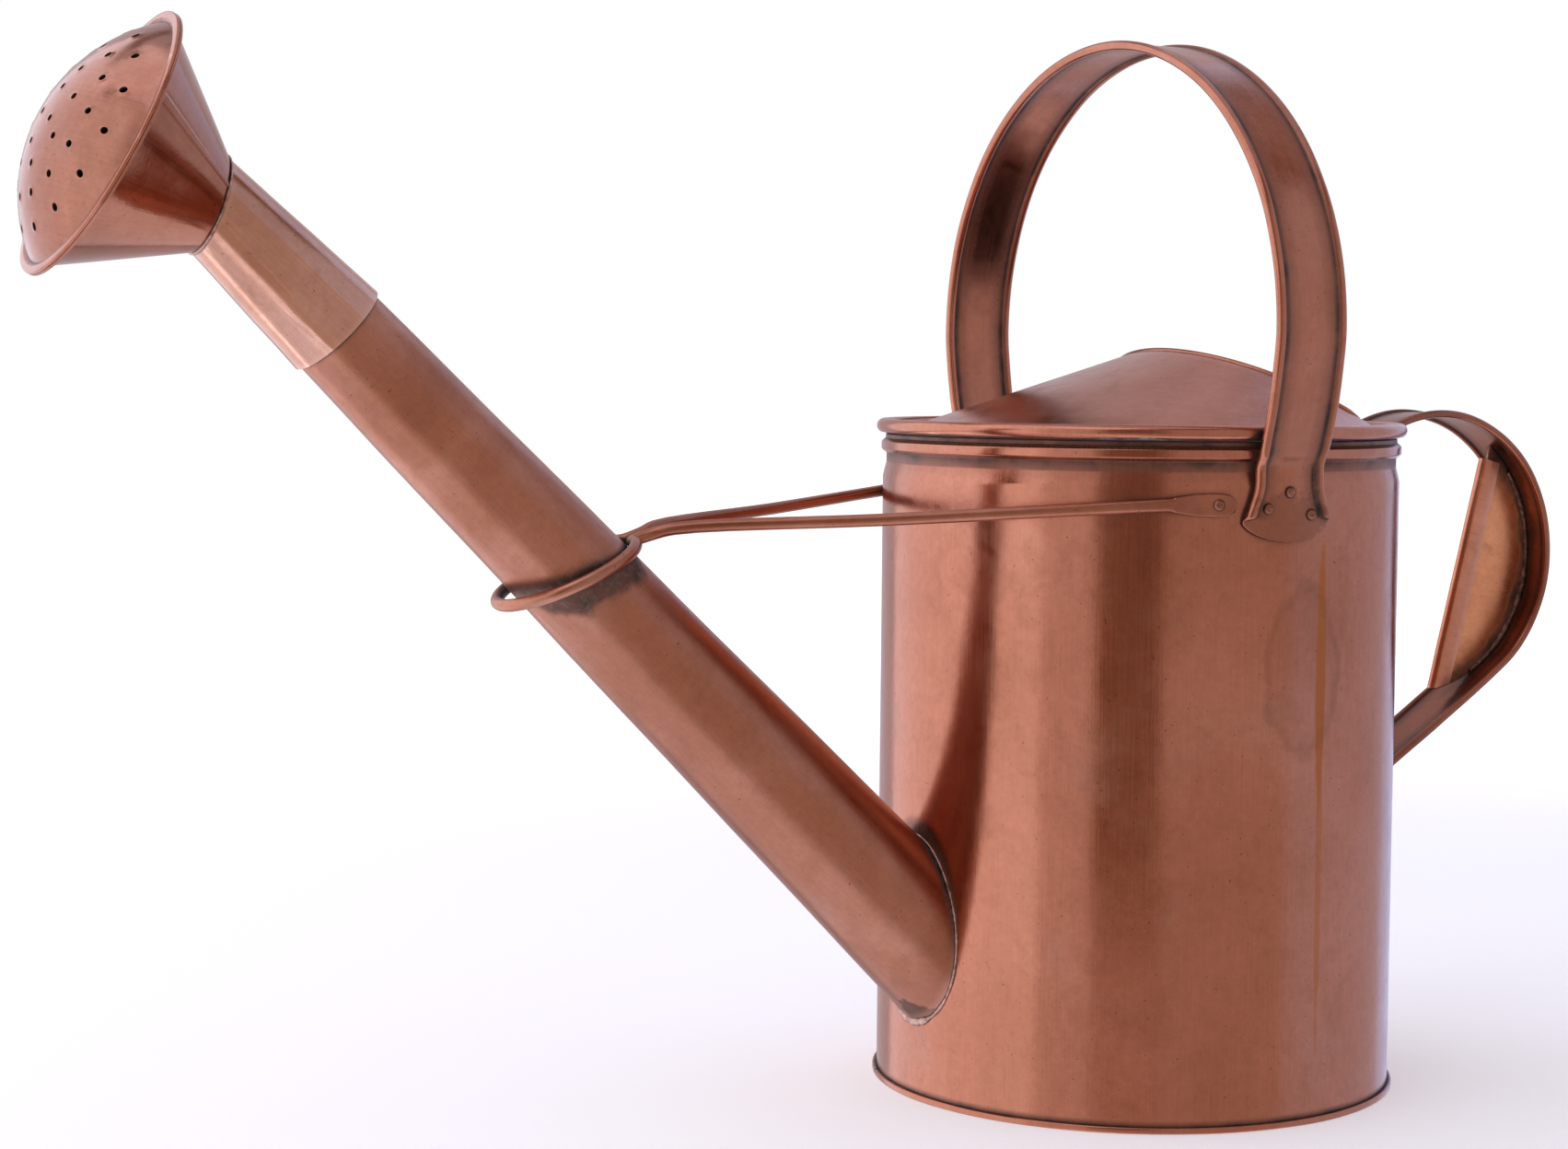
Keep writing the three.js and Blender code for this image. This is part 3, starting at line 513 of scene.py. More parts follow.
def solder_metal(name, dark, light, gloss, flux):
    """Dull lumpy solder with black flux in its hollows."""
    material = bpy.data.materials.new(name)
    s = Shader(material)
    where = s.add("TexCoord").outputs["Object"]
    lumps = s.noise(where, 420.0, 4.0, 0.6)
    stain = s.noise(where, 150.0, 5.0, 0.7)
    colour = s.mix(s.ramp(lumps, 0.35, 0.65), dark, light)
    black = s.ramp(stain, 0.54, 0.66, 0.0, flux)
    colour = s.mix(black, colour, FLUX)
    lumpy = s.ramp(lumps, 0.3, 0.7, gloss - 0.06, gloss + 0.1)
    roughness = s.plus(lumpy, s.times(black, 0.25))
    bump = s.add("Bump", {"Height": lumps, "Strength": 0.7, "Distance": 0.0004})
    s.surface({"Base Color": colour, "Roughness": roughness, "Metallic": 0.92, "Normal": bump.outputs[0]})
    return material


def floor_paper():
    """Pale studio paper with a faint tooth, which glows for camera rays more and more towards its far edge so
    that no horizon shows.
    """
    material = bpy.data.materials.new("studio_paper")
    s = Shader(material)
    where = s.add("TexCoord").outputs["Object"]
    tooth = s.noise(where, 240.0, 4.0, 0.6)
    rays = s.add("LightPath")
    shade = s.ramp(tooth, 0.3, 0.7, 0.86, 0.9)
    away = s.add("VectorMath", {0: where}, operation="LENGTH").outputs["Value"]
    glow = s.times(s.ramp(away, 0.5, 2.4, 0.3, 1.0), rays.outputs["Is Camera Ray"])
    s.surface({"Base Color": s.grey(shade), "Roughness": 0.9, "Emission Color": (1, 1, 1, 1),
               "Emission Strength": glow})
    return material


wall_copper = copper("wall_copper", BODY_TONES, 0.16, ROUND_BODY, corner_shade_and_oxide=0.45, patches=(
    ((0.0128, -0.0992, 0.165), (0.0027, 0.006, 0.055), ORANGE, 0.85, 0.3),
    ((0.0135, -0.0990, 0.085), (0.0018, 0.006, 0.060), ORANGE, 0.5, 0.5),
), tides=(((0.0045, -0.0995, 0.168), (0.0190, 0.020, 0.034)),))
rim_copper = copper("rim_copper", BODY_TONES, 0.2, ROUND_BODY, patches=(
    ((-0.058, -0.082, 0.2512), (0.024, 0.018, 0.0012), PALE_SALT, 0.95, 1.1),
))
hood_copper = copper("hood_copper", BODY_TONES, 0.2, (1500.0, 30.0, 1.0))
spout_copper = copper("spout_copper", DARK_TONES, 0.3, ALONG_TUBE, verdigris=0.9, patches=(
    ((-0.1030, -0.0070, 0.0345), (0.0080, 0.0090, 0.0050), SOOT, 0.7, 1.2),
))
strap_copper = copper("strap_copper", BODY_TONES, 0.19, ALONG_STRAP, patches=tuple(
    ((-0.005, flank * 0.1015, 0.2215), (0.022, 0.012, 0.013), BROWN, 0.38, 1.3) for flank in (-1, 1)))
# The grip strap's darker tones are painted shade.
grip_copper = copper("grip_copper", SHADED_GRIP_TONES, 0.2, ALONG_STRAP, tarnish=0.45)
rod_copper = copper("rod_copper", DARK_TONES, 0.3, (1500.0, 30.0, 1.0), corner_shade_and_oxide=0.9)
web_copper = copper("web_copper", WEB_TONES, 0.3, (900.0, 30.0, 1.0), tarnish=0.3)
base_copper = copper("base_copper", DARK_TONES, 0.3, (900.0, 900.0, 1.0), tarnish=0.45)
cone_copper = copper("cone_copper", DARK_TONES, 0.09, ALONG_TUBE, tarnish=0.2)
# The sleeve's lighter tones are a painted highlight.
sleeve_copper = copper("sleeve_copper", LIT_SLEEVE_TONES, 0.13, ALONG_TUBE, tarnish=0.3)
face_copper = copper("face_copper", FACE_TONES, 0.17, (1200.0, 40.0, 1.0), corner_shade_and_oxide=0.6, tarnish=0.3)
channel_copper = copper("channel_copper", CHANNEL_TONES, 0.3, ALONG_TUBE, tarnish=0.35)
rivet_copper = copper("rivet_copper", RIVET_TONES, 0.34, (600.0, 600.0, 1.0), tarnish=0.5)
seam_solder = solder_metal("seam_solder", (0.36, 0.19, 0.14), (0.60, 0.40, 0.33), 0.36, 0.5)
dark_solder = solder_metal("dark_solder", (0.10, 0.055, 0.04), (0.26, 0.15, 0.11), 0.42, 0.85)


# ---- Body ------------------------------------------------
def on_spout(s, r, phi):
    """The point s along the spout's axis, r out from it in the direction phi."""
    return ring_point(SPOUT_ROOT + SPOUT_AXIS * s, SPOUT_SIDE, r, phi)


def spout_radius(s):
    return SPOUT_R - SPOUT_TAPER * s


def saddle(offset, cylinder_r, phi):
    """Where the spout's cone, moved out by offset, meets a cylinder about the body's axis."""
    start = on_spout(0, SPOUT_R + offset, phi)
    along = on_spout(1, SPOUT_R + offset - SPOUT_TAPER, phi) - start
    a = along.x ** 2 + along.y ** 2
    b = start.x * along.x + start.y * along.y
    c = start.x ** 2 + start.y ** 2 - cylinder_r ** 2
    return start + along * ((-b + sqrt(b * b - a * c)) / a)


def build_wall():
    inner = BODY_R - SHEET
    outline = rounded([
        (inner, 0.05, 0.2), (BODY_R, 0.05, 0.3),
        (BODY_R, FOOT_BEAD_H, 0), (BODY_R, FOOT_BEAD_H + 1, 0), (BODY_R, FOOT_BEAD_H * 2, 0),
        (BODY_R, SHOULDER_Z, 7), (NECK_R, NECK_LOW_Z, 1.6), (NECK_R, NECK_HIGH_Z, 0.8),
        (BEAD_R, BEAD_LOW_Z, 0.9), (BEAD_R, BEAD_HIGH_Z, 0.9), (COLLAR_R, COLLAR_Z, 0.8),
        (COLLAR_R, SHELL_TOP_Z, 0.3), (NECK_R - SHEET, SHELL_TOP_Z, 0.3),
        (NECK_R - SHEET, SHOULDER_Z + 2, 2), (inner, SHOULDER_Z - 2, 2)])
    skin = lathe(divided(outline, 9), full_circle(200), dent=0.16, dent_size=60)
    groove = []
    for p in skin[0]:
        at_foot = 1 - smoothstep(FOOT_BEAD_H + 0.2, FOOT_BEAD_H + 2.2, p.z)
        at_neck = smoothstep(239.6, 241, p.z) * (1 - smoothstep(243.6, 244.6, p.z))
        groove.append(max(at_foot, at_neck, smoothstep(248.6, 249.6, p.z)))
    build("wall", [skin], wall_copper, ["body_shell"], crease=50, groove=groove)


def build_base():
    r = BODY_R - SHEET - 0.55
    outline = rounded([(0.05, 0, 0), (r, 0, 0.8), (r, 6, 0.3), (r - SHEET, 6, 0.3), (r - SHEET, SHEET, 0.6),
                       (72, SHEET, 3), (70, SHEET + 0.6, 1), (68, SHEET, 3), (0.05, SHEET, 0)])
    skin = lathe(divided(outline, 9), full_circle(120))
    build("base_sheet", [skin], base_copper, ["bottom_disc"])


def build_foot():
    foot = rounded([(BODY_R + 0.1, 0, 0.3), (FOOT_BEAD_R, 0, 0.9), (FOOT_BEAD_R, FOOT_BEAD_H, 0.9),
                    (BODY_R + 0.1, FOOT_BEAD_H, 0.2)])
    gap = 0.9 / FOOT_BEAD_R
    start = radians(FOOT_SEAM)
    angles = [start + gap / 2 + (TURN - gap) * i / 240 for i in range(241)]
    skin = lathe(divided(foot, 0.8), angles, dent=0.15, dent_size=30, loop=False)
    build("foot_roll", [skin], rim_copper, ["foot_bead"], crease=60)


def build_rim():
    tuck, depth, width, steps = radians(-78), 0.8, 0.13, 64
    outline = []
    for i in range(steps):
        a = -pi + TURN * i / steps
        r = RIM_WIRE_R - depth * exp(-((a - tuck) / width) ** 2)
        outline.append(Vector((RIM_R + r * cos(a), RIM_Z + r * sin(a))))
    skin = lathe(outline, full_circle(220), dent=0.3, dent_size=26)
    build("rim_roll", [skin], rim_copper, ["rolled_rim"], crease=75)


# ---- Hood ------------------------------------------------
def hood_foot(t):
    a = radians(HOOD_HALF_ANGLE) * t
    return vec(-HOOD_R * cos(a), -HOOD_R * sin(a), HOOD_Z)


def hood_edge(t):
    corner = hood_foot(1)
    lift = cos(t * pi / 2) ** HOOD_ARCH
    return vec(corner.x + (HOOD_CROWN_X - corner.x) * lift, corner.y * sin(t * pi / 2),
               HOOD_Z + HOOD_RISE * lift)


def build_hood():
    columns, rows = 110, 16
    rings = []
    for i in range(columns + 1):
        t = HOOD_REACH * (2 * i / columns - 1)
        foot, edge = hood_foot(t), hood_edge(t)
        upper = []
        for k in range(rows + 1):
            v = k / rows
            p = foot.lerp(edge, v)
            p.z += 0.5 * rough(p, 38, 4) * sin(v * pi)
            upper.append(p)
        rings.append(upper + [p - vec(0, 0, SHEET) for p in reversed(upper)])
    build("splash_hood", [loft(rings)], hood_copper, ["hood"], crease=50)


def build_hem():
    hem_r, hem_reach, count = 1.25, 0.88, 120
    path = []
    for i in range(count + 1):
        t = hem_reach * (2 * i / count - 1)
        edge = hood_edge(t)
        out = (edge - hood_foot(t)).normalized()
        path.append(edge + out * 0.7 - vec(0, 0, SHEET / 2))
    rings = []
    for i, (p, along) in enumerate(zip(path, tangents(path))):
        side = along.cross(UP).normalized()
        up = side.cross(along)
        end = min(1.0, 0.35 + min(i, count - i) / 5)
        ring = []
        for a in full_circle(20):
            crease = 1 - 0.3 * exp(-((a - pi * 1.25) / 0.25) ** 2)
            ring.append(p + (side * cos(a) + up * sin(a)) * hem_r * end * crease)
        rings.append(ring)
    build("hood_fold", [loft(rings)], hood_copper, ["hood_hem"], crease=70)


def build_hood_solder():
    rings, count = [], 240
    for i in range(count + 1):
        t = HOOD_REACH * (2 * i / count - 1)
        foot = hood_foot(t)
        out = vec(foot.x, foot.y, 0).normalized()
        r = 0.75 + 0.3 * rough(foot, 4, 2)
        middle = foot - out * 0.1 + vec(0, 0, 1.5)
        rings.append(oval(middle, out, r, UP, r, 10))
    build("hood_solder", [loft(rings)], dark_solder, [])


# ---- Spout -----------------------------------------------
def spout_dent(s, phi, r):
    return r + 0.3 * rough(vec(r * cos(phi) * 1.6, r * sin(phi) * 1.6, s * 0.5), 30, 9)


def joint_at(phi):
    """How far along the spout its two lengths meet, in the plane of the brace's ring."""
    normal = vec(-sin(BRACE_RING_TILT), 0, cos(BRACE_RING_TILT))
    centre = vec(BRACE_RING_X, 0, BRACE_RING_Z)
    on_axis = (centre - SPOUT_ROOT).dot(normal) / SPOUT_AXIS.dot(normal)
    lean = SPOUT_SIDE.dot(normal) / SPOUT_AXIS.dot(normal)
    return on_axis - lean * spout_radius(on_axis) * cos(phi)


def build_spout_root():
    sides, rows = 120, 60
    lower, groove = [], []
    for phi in full_circle(sides):
        start = saddle(0, BODY_R - 0.3, phi)
        first = (start - SPOUT_ROOT).dot(SPOUT_AXIS)
        joint = joint_at(phi)
        stations = [first + (joint - first) * (1 - (1 - k / rows) ** 1.7) for k in range(rows + 1)]
        ring = [on_spout(s, spout_dent(s, phi, spout_radius(s)), phi) for s in stations]
        near = smoothstep(0.1, 0.9, -sin(phi))
        for s, p in zip(stations, ring):
            reach = 6 + 7.5 * near + 3.5 * rough(p, 9, 2) + 1.5 * rough(p, 3, 5)
            groove.append((0.45 + 0.55 * near) * (1 - smoothstep(0.72 * reach, reach, joint - s)))
        ring += [on_spout(s, spout_radius(s) - SHEET, phi) for s in reversed(stations)]
        groove += [0.0] * len(stations)
        lower.append(ring)
    build("spout_root_length", [loft(lower, loop=True)], spout_copper, ["spout_lower"],
          crease=50, groove=groove)


def build_spout_end():
    sides, rows, gap = 120, 18, 0.1
    tip_radius = spout_radius(SPOUT_TIP) - SPOUT_TIP_CRIMP
    upper = []
    for phi in full_circle(sides):
        joint = joint_at(phi) + gap
        stations = [joint + (ROSE_START - 2 - joint) * k / rows for k in range(rows + 1)]
        ring = [on_spout(s, spout_dent(s, phi, spout_radius(s)), phi) for s in stations]
        ring.append(on_spout(SPOUT_TIP, tip_radius, phi))
        ring.append(on_spout(SPOUT_TIP, tip_radius - SHEET, phi))
        ring.append(on_spout(joint, spout_radius(joint) - SHEET, phi))
        upper.append(ring)
    build("spout_end_length", [loft(upper, loop=True)], spout_copper, ["spout_upper"],
          crease=50)


def build_spout_solder():
    rings = []
    for phi in full_circle(260):
        middle = saddle(0.35, BODY_R + 0.25, phi)
        out = vec(middle.x, middle.y, 0).normalized()
        around = (saddle(0.35, BODY_R + 0.25, phi + 0.03) - middle).normalized()
        side = around.cross(out).normalized()
        lowest = smoothstep(0.86, 1.0, -cos(phi))
        r = 0.40 + 0.15 * rough(middle, 5, 1) + 0.1 * rough(middle, 1.7, 3)
        r += lowest * (0.75 + 0.5 * rough(middle, 2.2, 8))
        rings.append(oval(middle, out, r, side, 1.35 * r, 12))
    build("spout_solder", [loft(rings, loop=True)], seam_solder, ["spout_solder_seam"])


# ---- Brace -----------------------------------------------
def on_body(radius, degrees, z, flank):
    """The point on a cylinder about the body's axis, by the angle from the spout's side."""
    a = radians(degrees)
    return vec(-radius * cos(a), flank * radius * sin(a), z)


def build_brace():
    def arm(flank):
        pad = [on_body(BODY_R + 0.25 + thick, degrees, BRACE_RIVET_Z, flank)
               for degrees, thick in zip(PAD_ANGLES, PAD_THICK)]
        return pad, [vec(x, flank * y, z) for x, y, z in BRACE_ARM]

    loop = []
    open_by, count = 0.16, 24
    for i in range(count + 1):
        a = open_by + i / count * 2 * (pi - open_by)
        along = BRACE_RING_ALONG * cos(a)
        loop.append(vec(BRACE_RING_X + along * cos(BRACE_RING_TILT), -BRACE_RING_ACROSS * sin(a),
                        BRACE_RING_Z + along * sin(BRACE_RING_TILT)))
    near_pad, near_rod = arm(-1)
    far_pad, far_rod = arm(1)
    knots = near_pad + near_rod + loop + far_rod[::-1] + far_pad[::-1]
    per_span = 6
    path = spline(knots, per_span)
    last = len(path) - 1
    pad_start = last - len(PAD_ANGLES) * per_span
    rings = []
    side = UP
    for i, (p, along) in enumerate(zip(path, tangents(path))):
        side = (side - along * side.dot(along)).normalized()
        out = along.cross(side)
        place = min(i, last - i) / per_span
        k = min(int(place), len(PAD_HALF) - 1)
        nearer, further = PAD_HALF[k], (PAD_HALF + (BRACE_R,))[k + 1]
        thin, thick = PAD_THICK[k], (PAD_THICK + (BRACE_R,))[k + 1]
        part = min(1.0, place - k) if k < len(PAD_HALF) - 1 else min(1.0, (place - k) * 2)
        half = nearer + (further - nearer) * part
        deep = thin + (thick - thin) * part
        if i > last / 2:
            tall = UP - along * along.z
            blend = smoothstep(pad_start - 10, pad_start, i)
            side = side.lerp(tall.normalized() * (1 if side.dot(tall) > 0 else -1), blend).normalized()
            out = along.cross(side)
        square = 0.55 if half > deep * 1.8 else 1.0
        ring = []
        for a in full_circle(20):
            c, s = cos(a), sin(a)
            c = copysign(abs(c) ** square, c)
            s = copysign(abs(s) ** square, s)
            ring.append(p + side * (half * c) + out * (deep * s * (1 + 0.04 * rough(p, 9, 5))))
        rings.append(ring)
    build("brace", [loft(rings)], rod_copper, ["brace_rod"], crease=60)

    for flank, word in ((-1, "near"), (1, "far")):
        point = on_body(BODY_R + 1.75, BRACE_RIVET_ANGLE, BRACE_RIVET_Z, flank)
        head = rivet(point, on_body(1, BRACE_RIVET_ANGLE, 0, flank), 2.15, 1.5, 3 + flank)
        build("brace_pin_" + word, [head], rivet_copper, ["brace_rivet_" + word], crease=80)


# ---- Carrying handle -------------------------------------
def tab_half_width(z):
    """Half the strap's width near its foot: narrow over the rim, flared and rounded below."""
    shoulder = TAB_CORNER_Z - 0.25 * TAB_DEPTH
    if z < shoulder:
        return TAB_HALF * sqrt(max(0.02, 1 - ((TAB_CORNER_Z - z) / TAB_DEPTH) ** 2) / 0.94)
    if z < 238:
        return TAB_HALF - (TAB_HALF - TAB_NECK_HALF) * smoothstep(shoulder, 237, z) ** 0.8
    return TAB_NECK_HALF + (BAIL_W / 2 - TAB_NECK_HALF) * smoothstep(240, 252, z)


def build_bail():
    heights = [TAB_CORNER_Z - TAB_DEPTH * cos(k / 12 * pi / 2) for k in range(12)]
    heights += [224, 224.4, 225.5, 227, 229, 231, 233, 235, 237, 239]
    foot = [(vec(BAIL_X, -TAB_R, z), 1.0) for z in heights]
    side = [vec(BAIL_X, -y, z) for y, z in BAIL_SIDE]
    arch = []
    for i in range(17):
        a = pi * (1 - i / 16)
        arch.append(vec(BAIL_X, BAIL_ACROSS * cos(a), BAIL_ARCH_Z + BAIL_UP * sin(a)))
    knots = side + arch + [vec(p.x, -p.y, p.z) for p in reversed(side)]
    over = [(p, 1 - smoothstep(240, 247, p.z)) for p in spline(knots, 8)]
    stations = foot + over + [(vec(p.x, -p.y, p.z), wrap) for p, wrap in reversed(foot)]

    rings, groove = [], []
    for (centre, wrap), along in zip(stations, tangents([p for p, _ in stations])):
        flank = 1 if centre.y > 0 else -1
        half = tab_half_width(centre.z)
        rolled = smoothstep(223.2, 224.2, centre.z)
        bead = BAIL_SHEET / 2 + (BAIL_BEAD - BAIL_SHEET / 2) * rolled
        out_of = vec(1, 0, 0).cross(along)
        lift = (bead - BAIL_SHEET / 2) * wrap
        ring = []
        # Each point's last value is painted shade beside a bead.
        for across, out, on_bead, shade_and_oxide in strap_section(half, bead, BAIL_SHEET):
            out += lift * on_bead
            flat = centre + vec(across, 0, 0) + out_of * out
            r = TAB_R + out
            x = BAIL_X + across
            bent = vec(x, flank * sqrt(r * r - x * x), centre.z)
            p = flat.lerp(bent, wrap)
            p.y += 0.25 * rough(p, 24, 7) * (1 - wrap)
            ring.append(p)
            groove.append(shade_and_oxide * rolled)
        rings.append(ring)
    build("bail", [loft(rings)], strap_copper, ["carry_handle"], crease=50, groove=groove)

    for flank, word in ((-1, "near"), (1, "far")):
        for k, (place, dx, z) in enumerate(BAIL_RIVETS):
            x = BAIL_X + dx
            r = TAB_R + BAIL_SHEET / 2 - 0.1
            point = vec(x, flank * sqrt(r * r - x * x), z)
            head = rivet(point, vec(point.x, point.y, 0), 2.1, 1.9, k + flank)
            node = f"handle_rivet_{word}_{place}"
            build(f"bail_pin_{word}_{place}", [head], rivet_copper, [node], crease=80)


# ---- Pouring handle --------------------------------------
def build_grip():
    knots = [vec(GRIP_END_X + dx, 0, z) for dx, z in GRIP_TOP]
    first, last = radians(128), GRIP_SLOPE - pi / 2
    for i in range(16):
        a = first + i / 15 * (last - first)
        knots.append(vec(GRIP_X + GRIP_R * cos(a), 0, GRIP_Z + GRIP_R * sin(a)))
    turn = knots[-1]
    foot_x = GRIP_END_X + GRIP_FOOT[0][0]
    foot_z = turn.z - (turn.x - foot_x) * tan(GRIP_SLOPE)
    knots.append(vec((turn.x + foot_x) / 2, 0, (turn.z + foot_z) / 2))
    knots += [vec(GRIP_END_X + dx, 0, foot_z + dz) for dx, dz in GRIP_FOOT]
    path = spline(knots, 7)
    rings, groove = [], []
    for i, (p, along) in enumerate(zip(path, tangents(path))):
        out_of = ACROSS.cross(along)
        narrow = 1 - 0.12 * exp(-min(i, len(path) - 1 - i) / 3)
        ring = []
        # Each point's last value is painted shade beside a bead.
        for across, out, _, shade_and_oxide in strap_section(GRIP_W / 2 * narrow, GRIP_BEAD, SHEET):
            q = p + vec(0, across, 0) + out_of * out
            ring.append(q + out_of * (0.2 * rough(q, 22, 8)))
            groove.append(shade_and_oxide)
        rings.append(ring)
    build("grip_strap", [loft(rings)], grip_copper, ["pouring_handle"], crease=50,
          groove=groove)


def build_web():
    foot = Vector(CHANNEL_FOOT)
    along = (Vector(CHANNEL_TOP) - foot).normalized()
    out_of = Vector((along.y, -along.x))
    centre = Vector((GRIP_X, GRIP_Z))
    middle_out = (centre - foot).dot(out_of)
    middle_along = (centre - foot).dot(along)

    def reach(radius, out):
        """The two ends, along the channel, of a line inside the strap's circle."""
        half = sqrt(radius ** 2 - (out - middle_out) ** 2)
        return middle_along - half, middle_along + half

    def at(out, run, y):
        p = foot + out_of * out + along * run
        return vec(p.x, y, p.y)

    inner = GRIP_R - SHEET / 2 - 0.1
    columns, rows = 44, 60
    rings, groove = [], []
    for i in range(columns + 1):
        out = WEB_EDGE + (middle_out + inner - 0.05 - WEB_EDGE) * (1 - (1 - i / columns) ** 1.6)
        low, high = reach(inner, out)
        run = [low + (high - low) * k / rows for k in range(rows + 1)]
        wave = [0.25 * rough(at(out, a, 0), 26, 6) for a in run]
        ring = [at(out, a, WEB_T / 2 + w) for a, w in zip(run, wave)]
        ring += [at(out, a, w - WEB_T / 2) for a, w in reversed(list(zip(run, wave)))]
        for p in ring:
            margin = inner - hypot(p.x - GRIP_X, p.z - GRIP_Z)
            edge = 6.2 + 3.0 * rough(p, 11, 3) + 1.4 * rough(p, 3.5, 1)
            groove.append(1 - smoothstep(0.5 * edge, edge, margin))
        rings.append(ring)
    build("web_plate", [loft(rings)], web_copper, ["handle_web"], crease=50, groove=groove)

    start, end = radians(-61), radians(36)
    fillets = []
    for side in (-1, 1):
        rings = []
        for i in range(201):
            a = start + (end - start) * i / 200
            out = vec(cos(a), 0, sin(a))
            spot = vec(GRIP_X, 0, GRIP_Z) + out * (inner - 0.6)
            r = 1.25 + 0.75 * rough(spot, 6, 3 + side) + 0.3 * rough(spot, 2, side)
            middle = spot + vec(0, side * (WEB_T / 2 + 0.1), 0)
            rings.append(oval(middle, out, r, ACROSS, 0.8 * r, 10))
        fillets.append(loft(rings))
    build("web_solder", fillets, dark_solder, [])

    half, wall, nose, floor = CHANNEL_HALF, 1.1, 1.8, 2.8
    section = [(CHANNEL_DEPTH, -half), (5, -half), (nose, -half)]
    for k in range(1, 10):
        a = -pi / 2 + pi * k / 10
        section.append((nose - nose * cos(a), half * sin(a)))
    section += [(nose, half), (5, half), (CHANNEL_DEPTH, half), (CHANNEL_DEPTH, half - wall),
                (floor, half - wall), (floor, wall - half), (CHANNEL_DEPTH, wall - half)]
    length = (Vector(CHANNEL_TOP) - foot).length
    spans = []
    for out, _ in section:
        low, high = reach(inner - SHEET, out)
        spans.append((low, min(high, length)))
    rings = []
    for k in range(41):
        ring = []
        for (out, y), (low, high) in zip(section, spans):
            a = low + (high - low) * k / 40
            ring.append(at(out + 0.12 * rough(at(0, a, y), 18, 2), a, y))
        rings.append(ring)
    build("grip_channel", [loft(rings)], channel_copper, ["handle_grip"], crease=50)


# ---- Rose ------------------------------------------------
def seam_angles(sides, seam):
    """Angles all the way round, closer together beside a seam."""
    close = [seam + radians(0.5 * k) for k in range(-12, 13)]
    clear = radians(6.5)
    return sorted([a for a in full_circle(sides) if abs(a - seam) > clear] + close)


def build_sleeve():
    seam, rows = radians(226), 20
    sleeve = []
    for phi in seam_angles(110, seam):
        sleeve_in = spout_radius(ROSE_START) + GAP
        outer_end = on_spout(ROSE_START, sleeve_in + SHEET, phi)
        outer_neck = ring_point(NECK - SPOUT_AXIS * 0.2, NECK_SIDE, ROSE_NECK_R, phi)
        inner_end = on_spout(ROSE_START, sleeve_in, phi)
        inner_neck = ring_point(NECK - SPOUT_AXIS * 0.2, NECK_SIDE, ROSE_NECK_R - SHEET, phi)
        out = (outer_end - on_spout(ROSE_START, 0, 0)).normalized()
        ring = []
        for k in range(rows + 1):
            v = k / rows
            lap = seam + radians(10 - 22 * v)
            step = smoothstep(lap - 0.012, lap + 0.012, phi) * (1 - smoothstep(lap + 0.1, lap + 0.9, phi))
            p = outer_end.lerp(outer_neck, v)
            ring.append(p + out * (0.15 * step + 0.2 * rough(p, 20, 3) * sin(v * pi)))
        ring += [inner_neck, inner_end]
        sleeve.append(ring)
    build("rose_socket", [loft(sleeve, loop=True)], sleeve_copper, ["rose_sleeve"],
          "rose", 50)


def build_cone():
    seam, rows = radians(289), 20
    cone = []
    wide_centre = FLANGE - ROSE_AXIS * 0.6
    for phi in seam_angles(130, seam):
        ridge = 0.35 * (smoothstep(seam - 0.05, seam - 0.03, phi) - smoothstep(seam + 0.03, seam + 0.05, phi))
        out = (ROSE_SIDE * cos(phi) + vec(0, sin(phi), 0)).normalized()
        ring = []
        for k in range(rows + 1):
            v = k / rows
            p = ring_point(NECK, NECK_SIDE, ROSE_NECK_R, phi).lerp(
                ring_point(wide_centre, ROSE_SIDE, CONE_R + 0.4, phi), v)
            ring.append(p + out * (ridge + 0.25 * rough(p, 24, 5) * sin(v * pi)))
        ring += [ring_point(wide_centre, ROSE_SIDE, CONE_R - SHEET, phi),
                 ring_point(NECK, NECK_SIDE, ROSE_NECK_R - SHEET, phi)]
        cone.append(ring)
    build("rose_funnel", [loft(cone, loop=True)], cone_copper, ["rose_cone"], "rose", 50)


def build_neck():
    rings = []
    for phi in full_circle(160):
        centre = ring_point(NECK, NECK_SIDE, ROSE_NECK_R + 0.35, phi)
        out = (centre - NECK).normalized()
        r = 0.5 + 0.16 * rough(centre, 4, 6)
        rings.append(oval(centre, out, r, SPOUT_AXIS, r, 10))
    build("rose_neck_solder", [loft(rings, loop=True)], seam_solder, ["rose_neck_seam"], "rose")


def build_brim():
    lip = rounded([(FACE_R - 0.6, -FLANGE_HALF, 0.2), (FLANGE_R, -FLANGE_HALF, 0.8), (FLANGE_R, -0.1, 0.1),
                   (FLANGE_R - 0.35, 0, 0.05), (FLANGE_R, 0.1, 0.1), (FLANGE_R, FLANGE_HALF, 0.8),
                   (FACE_R + 0.9, FLANGE_HALF + 0.2, 0.6), (FACE_R - 0.6, 0.6, 0.2)])
    rings = []
    for phi in full_circle(200):
        wave = 0.25 * rough(vec(cos(phi), sin(phi), 0), 0.5, 3)
        rings.append([ring_point(FLANGE + ROSE_AXIS * (z + wave * 0.5), ROSE_SIDE, r + wave, phi)
                      for r, z in lip])
    build("rose_lip", [loft(rings, loop=True)], rim_copper, ["rose_brim"], "rose", 60)


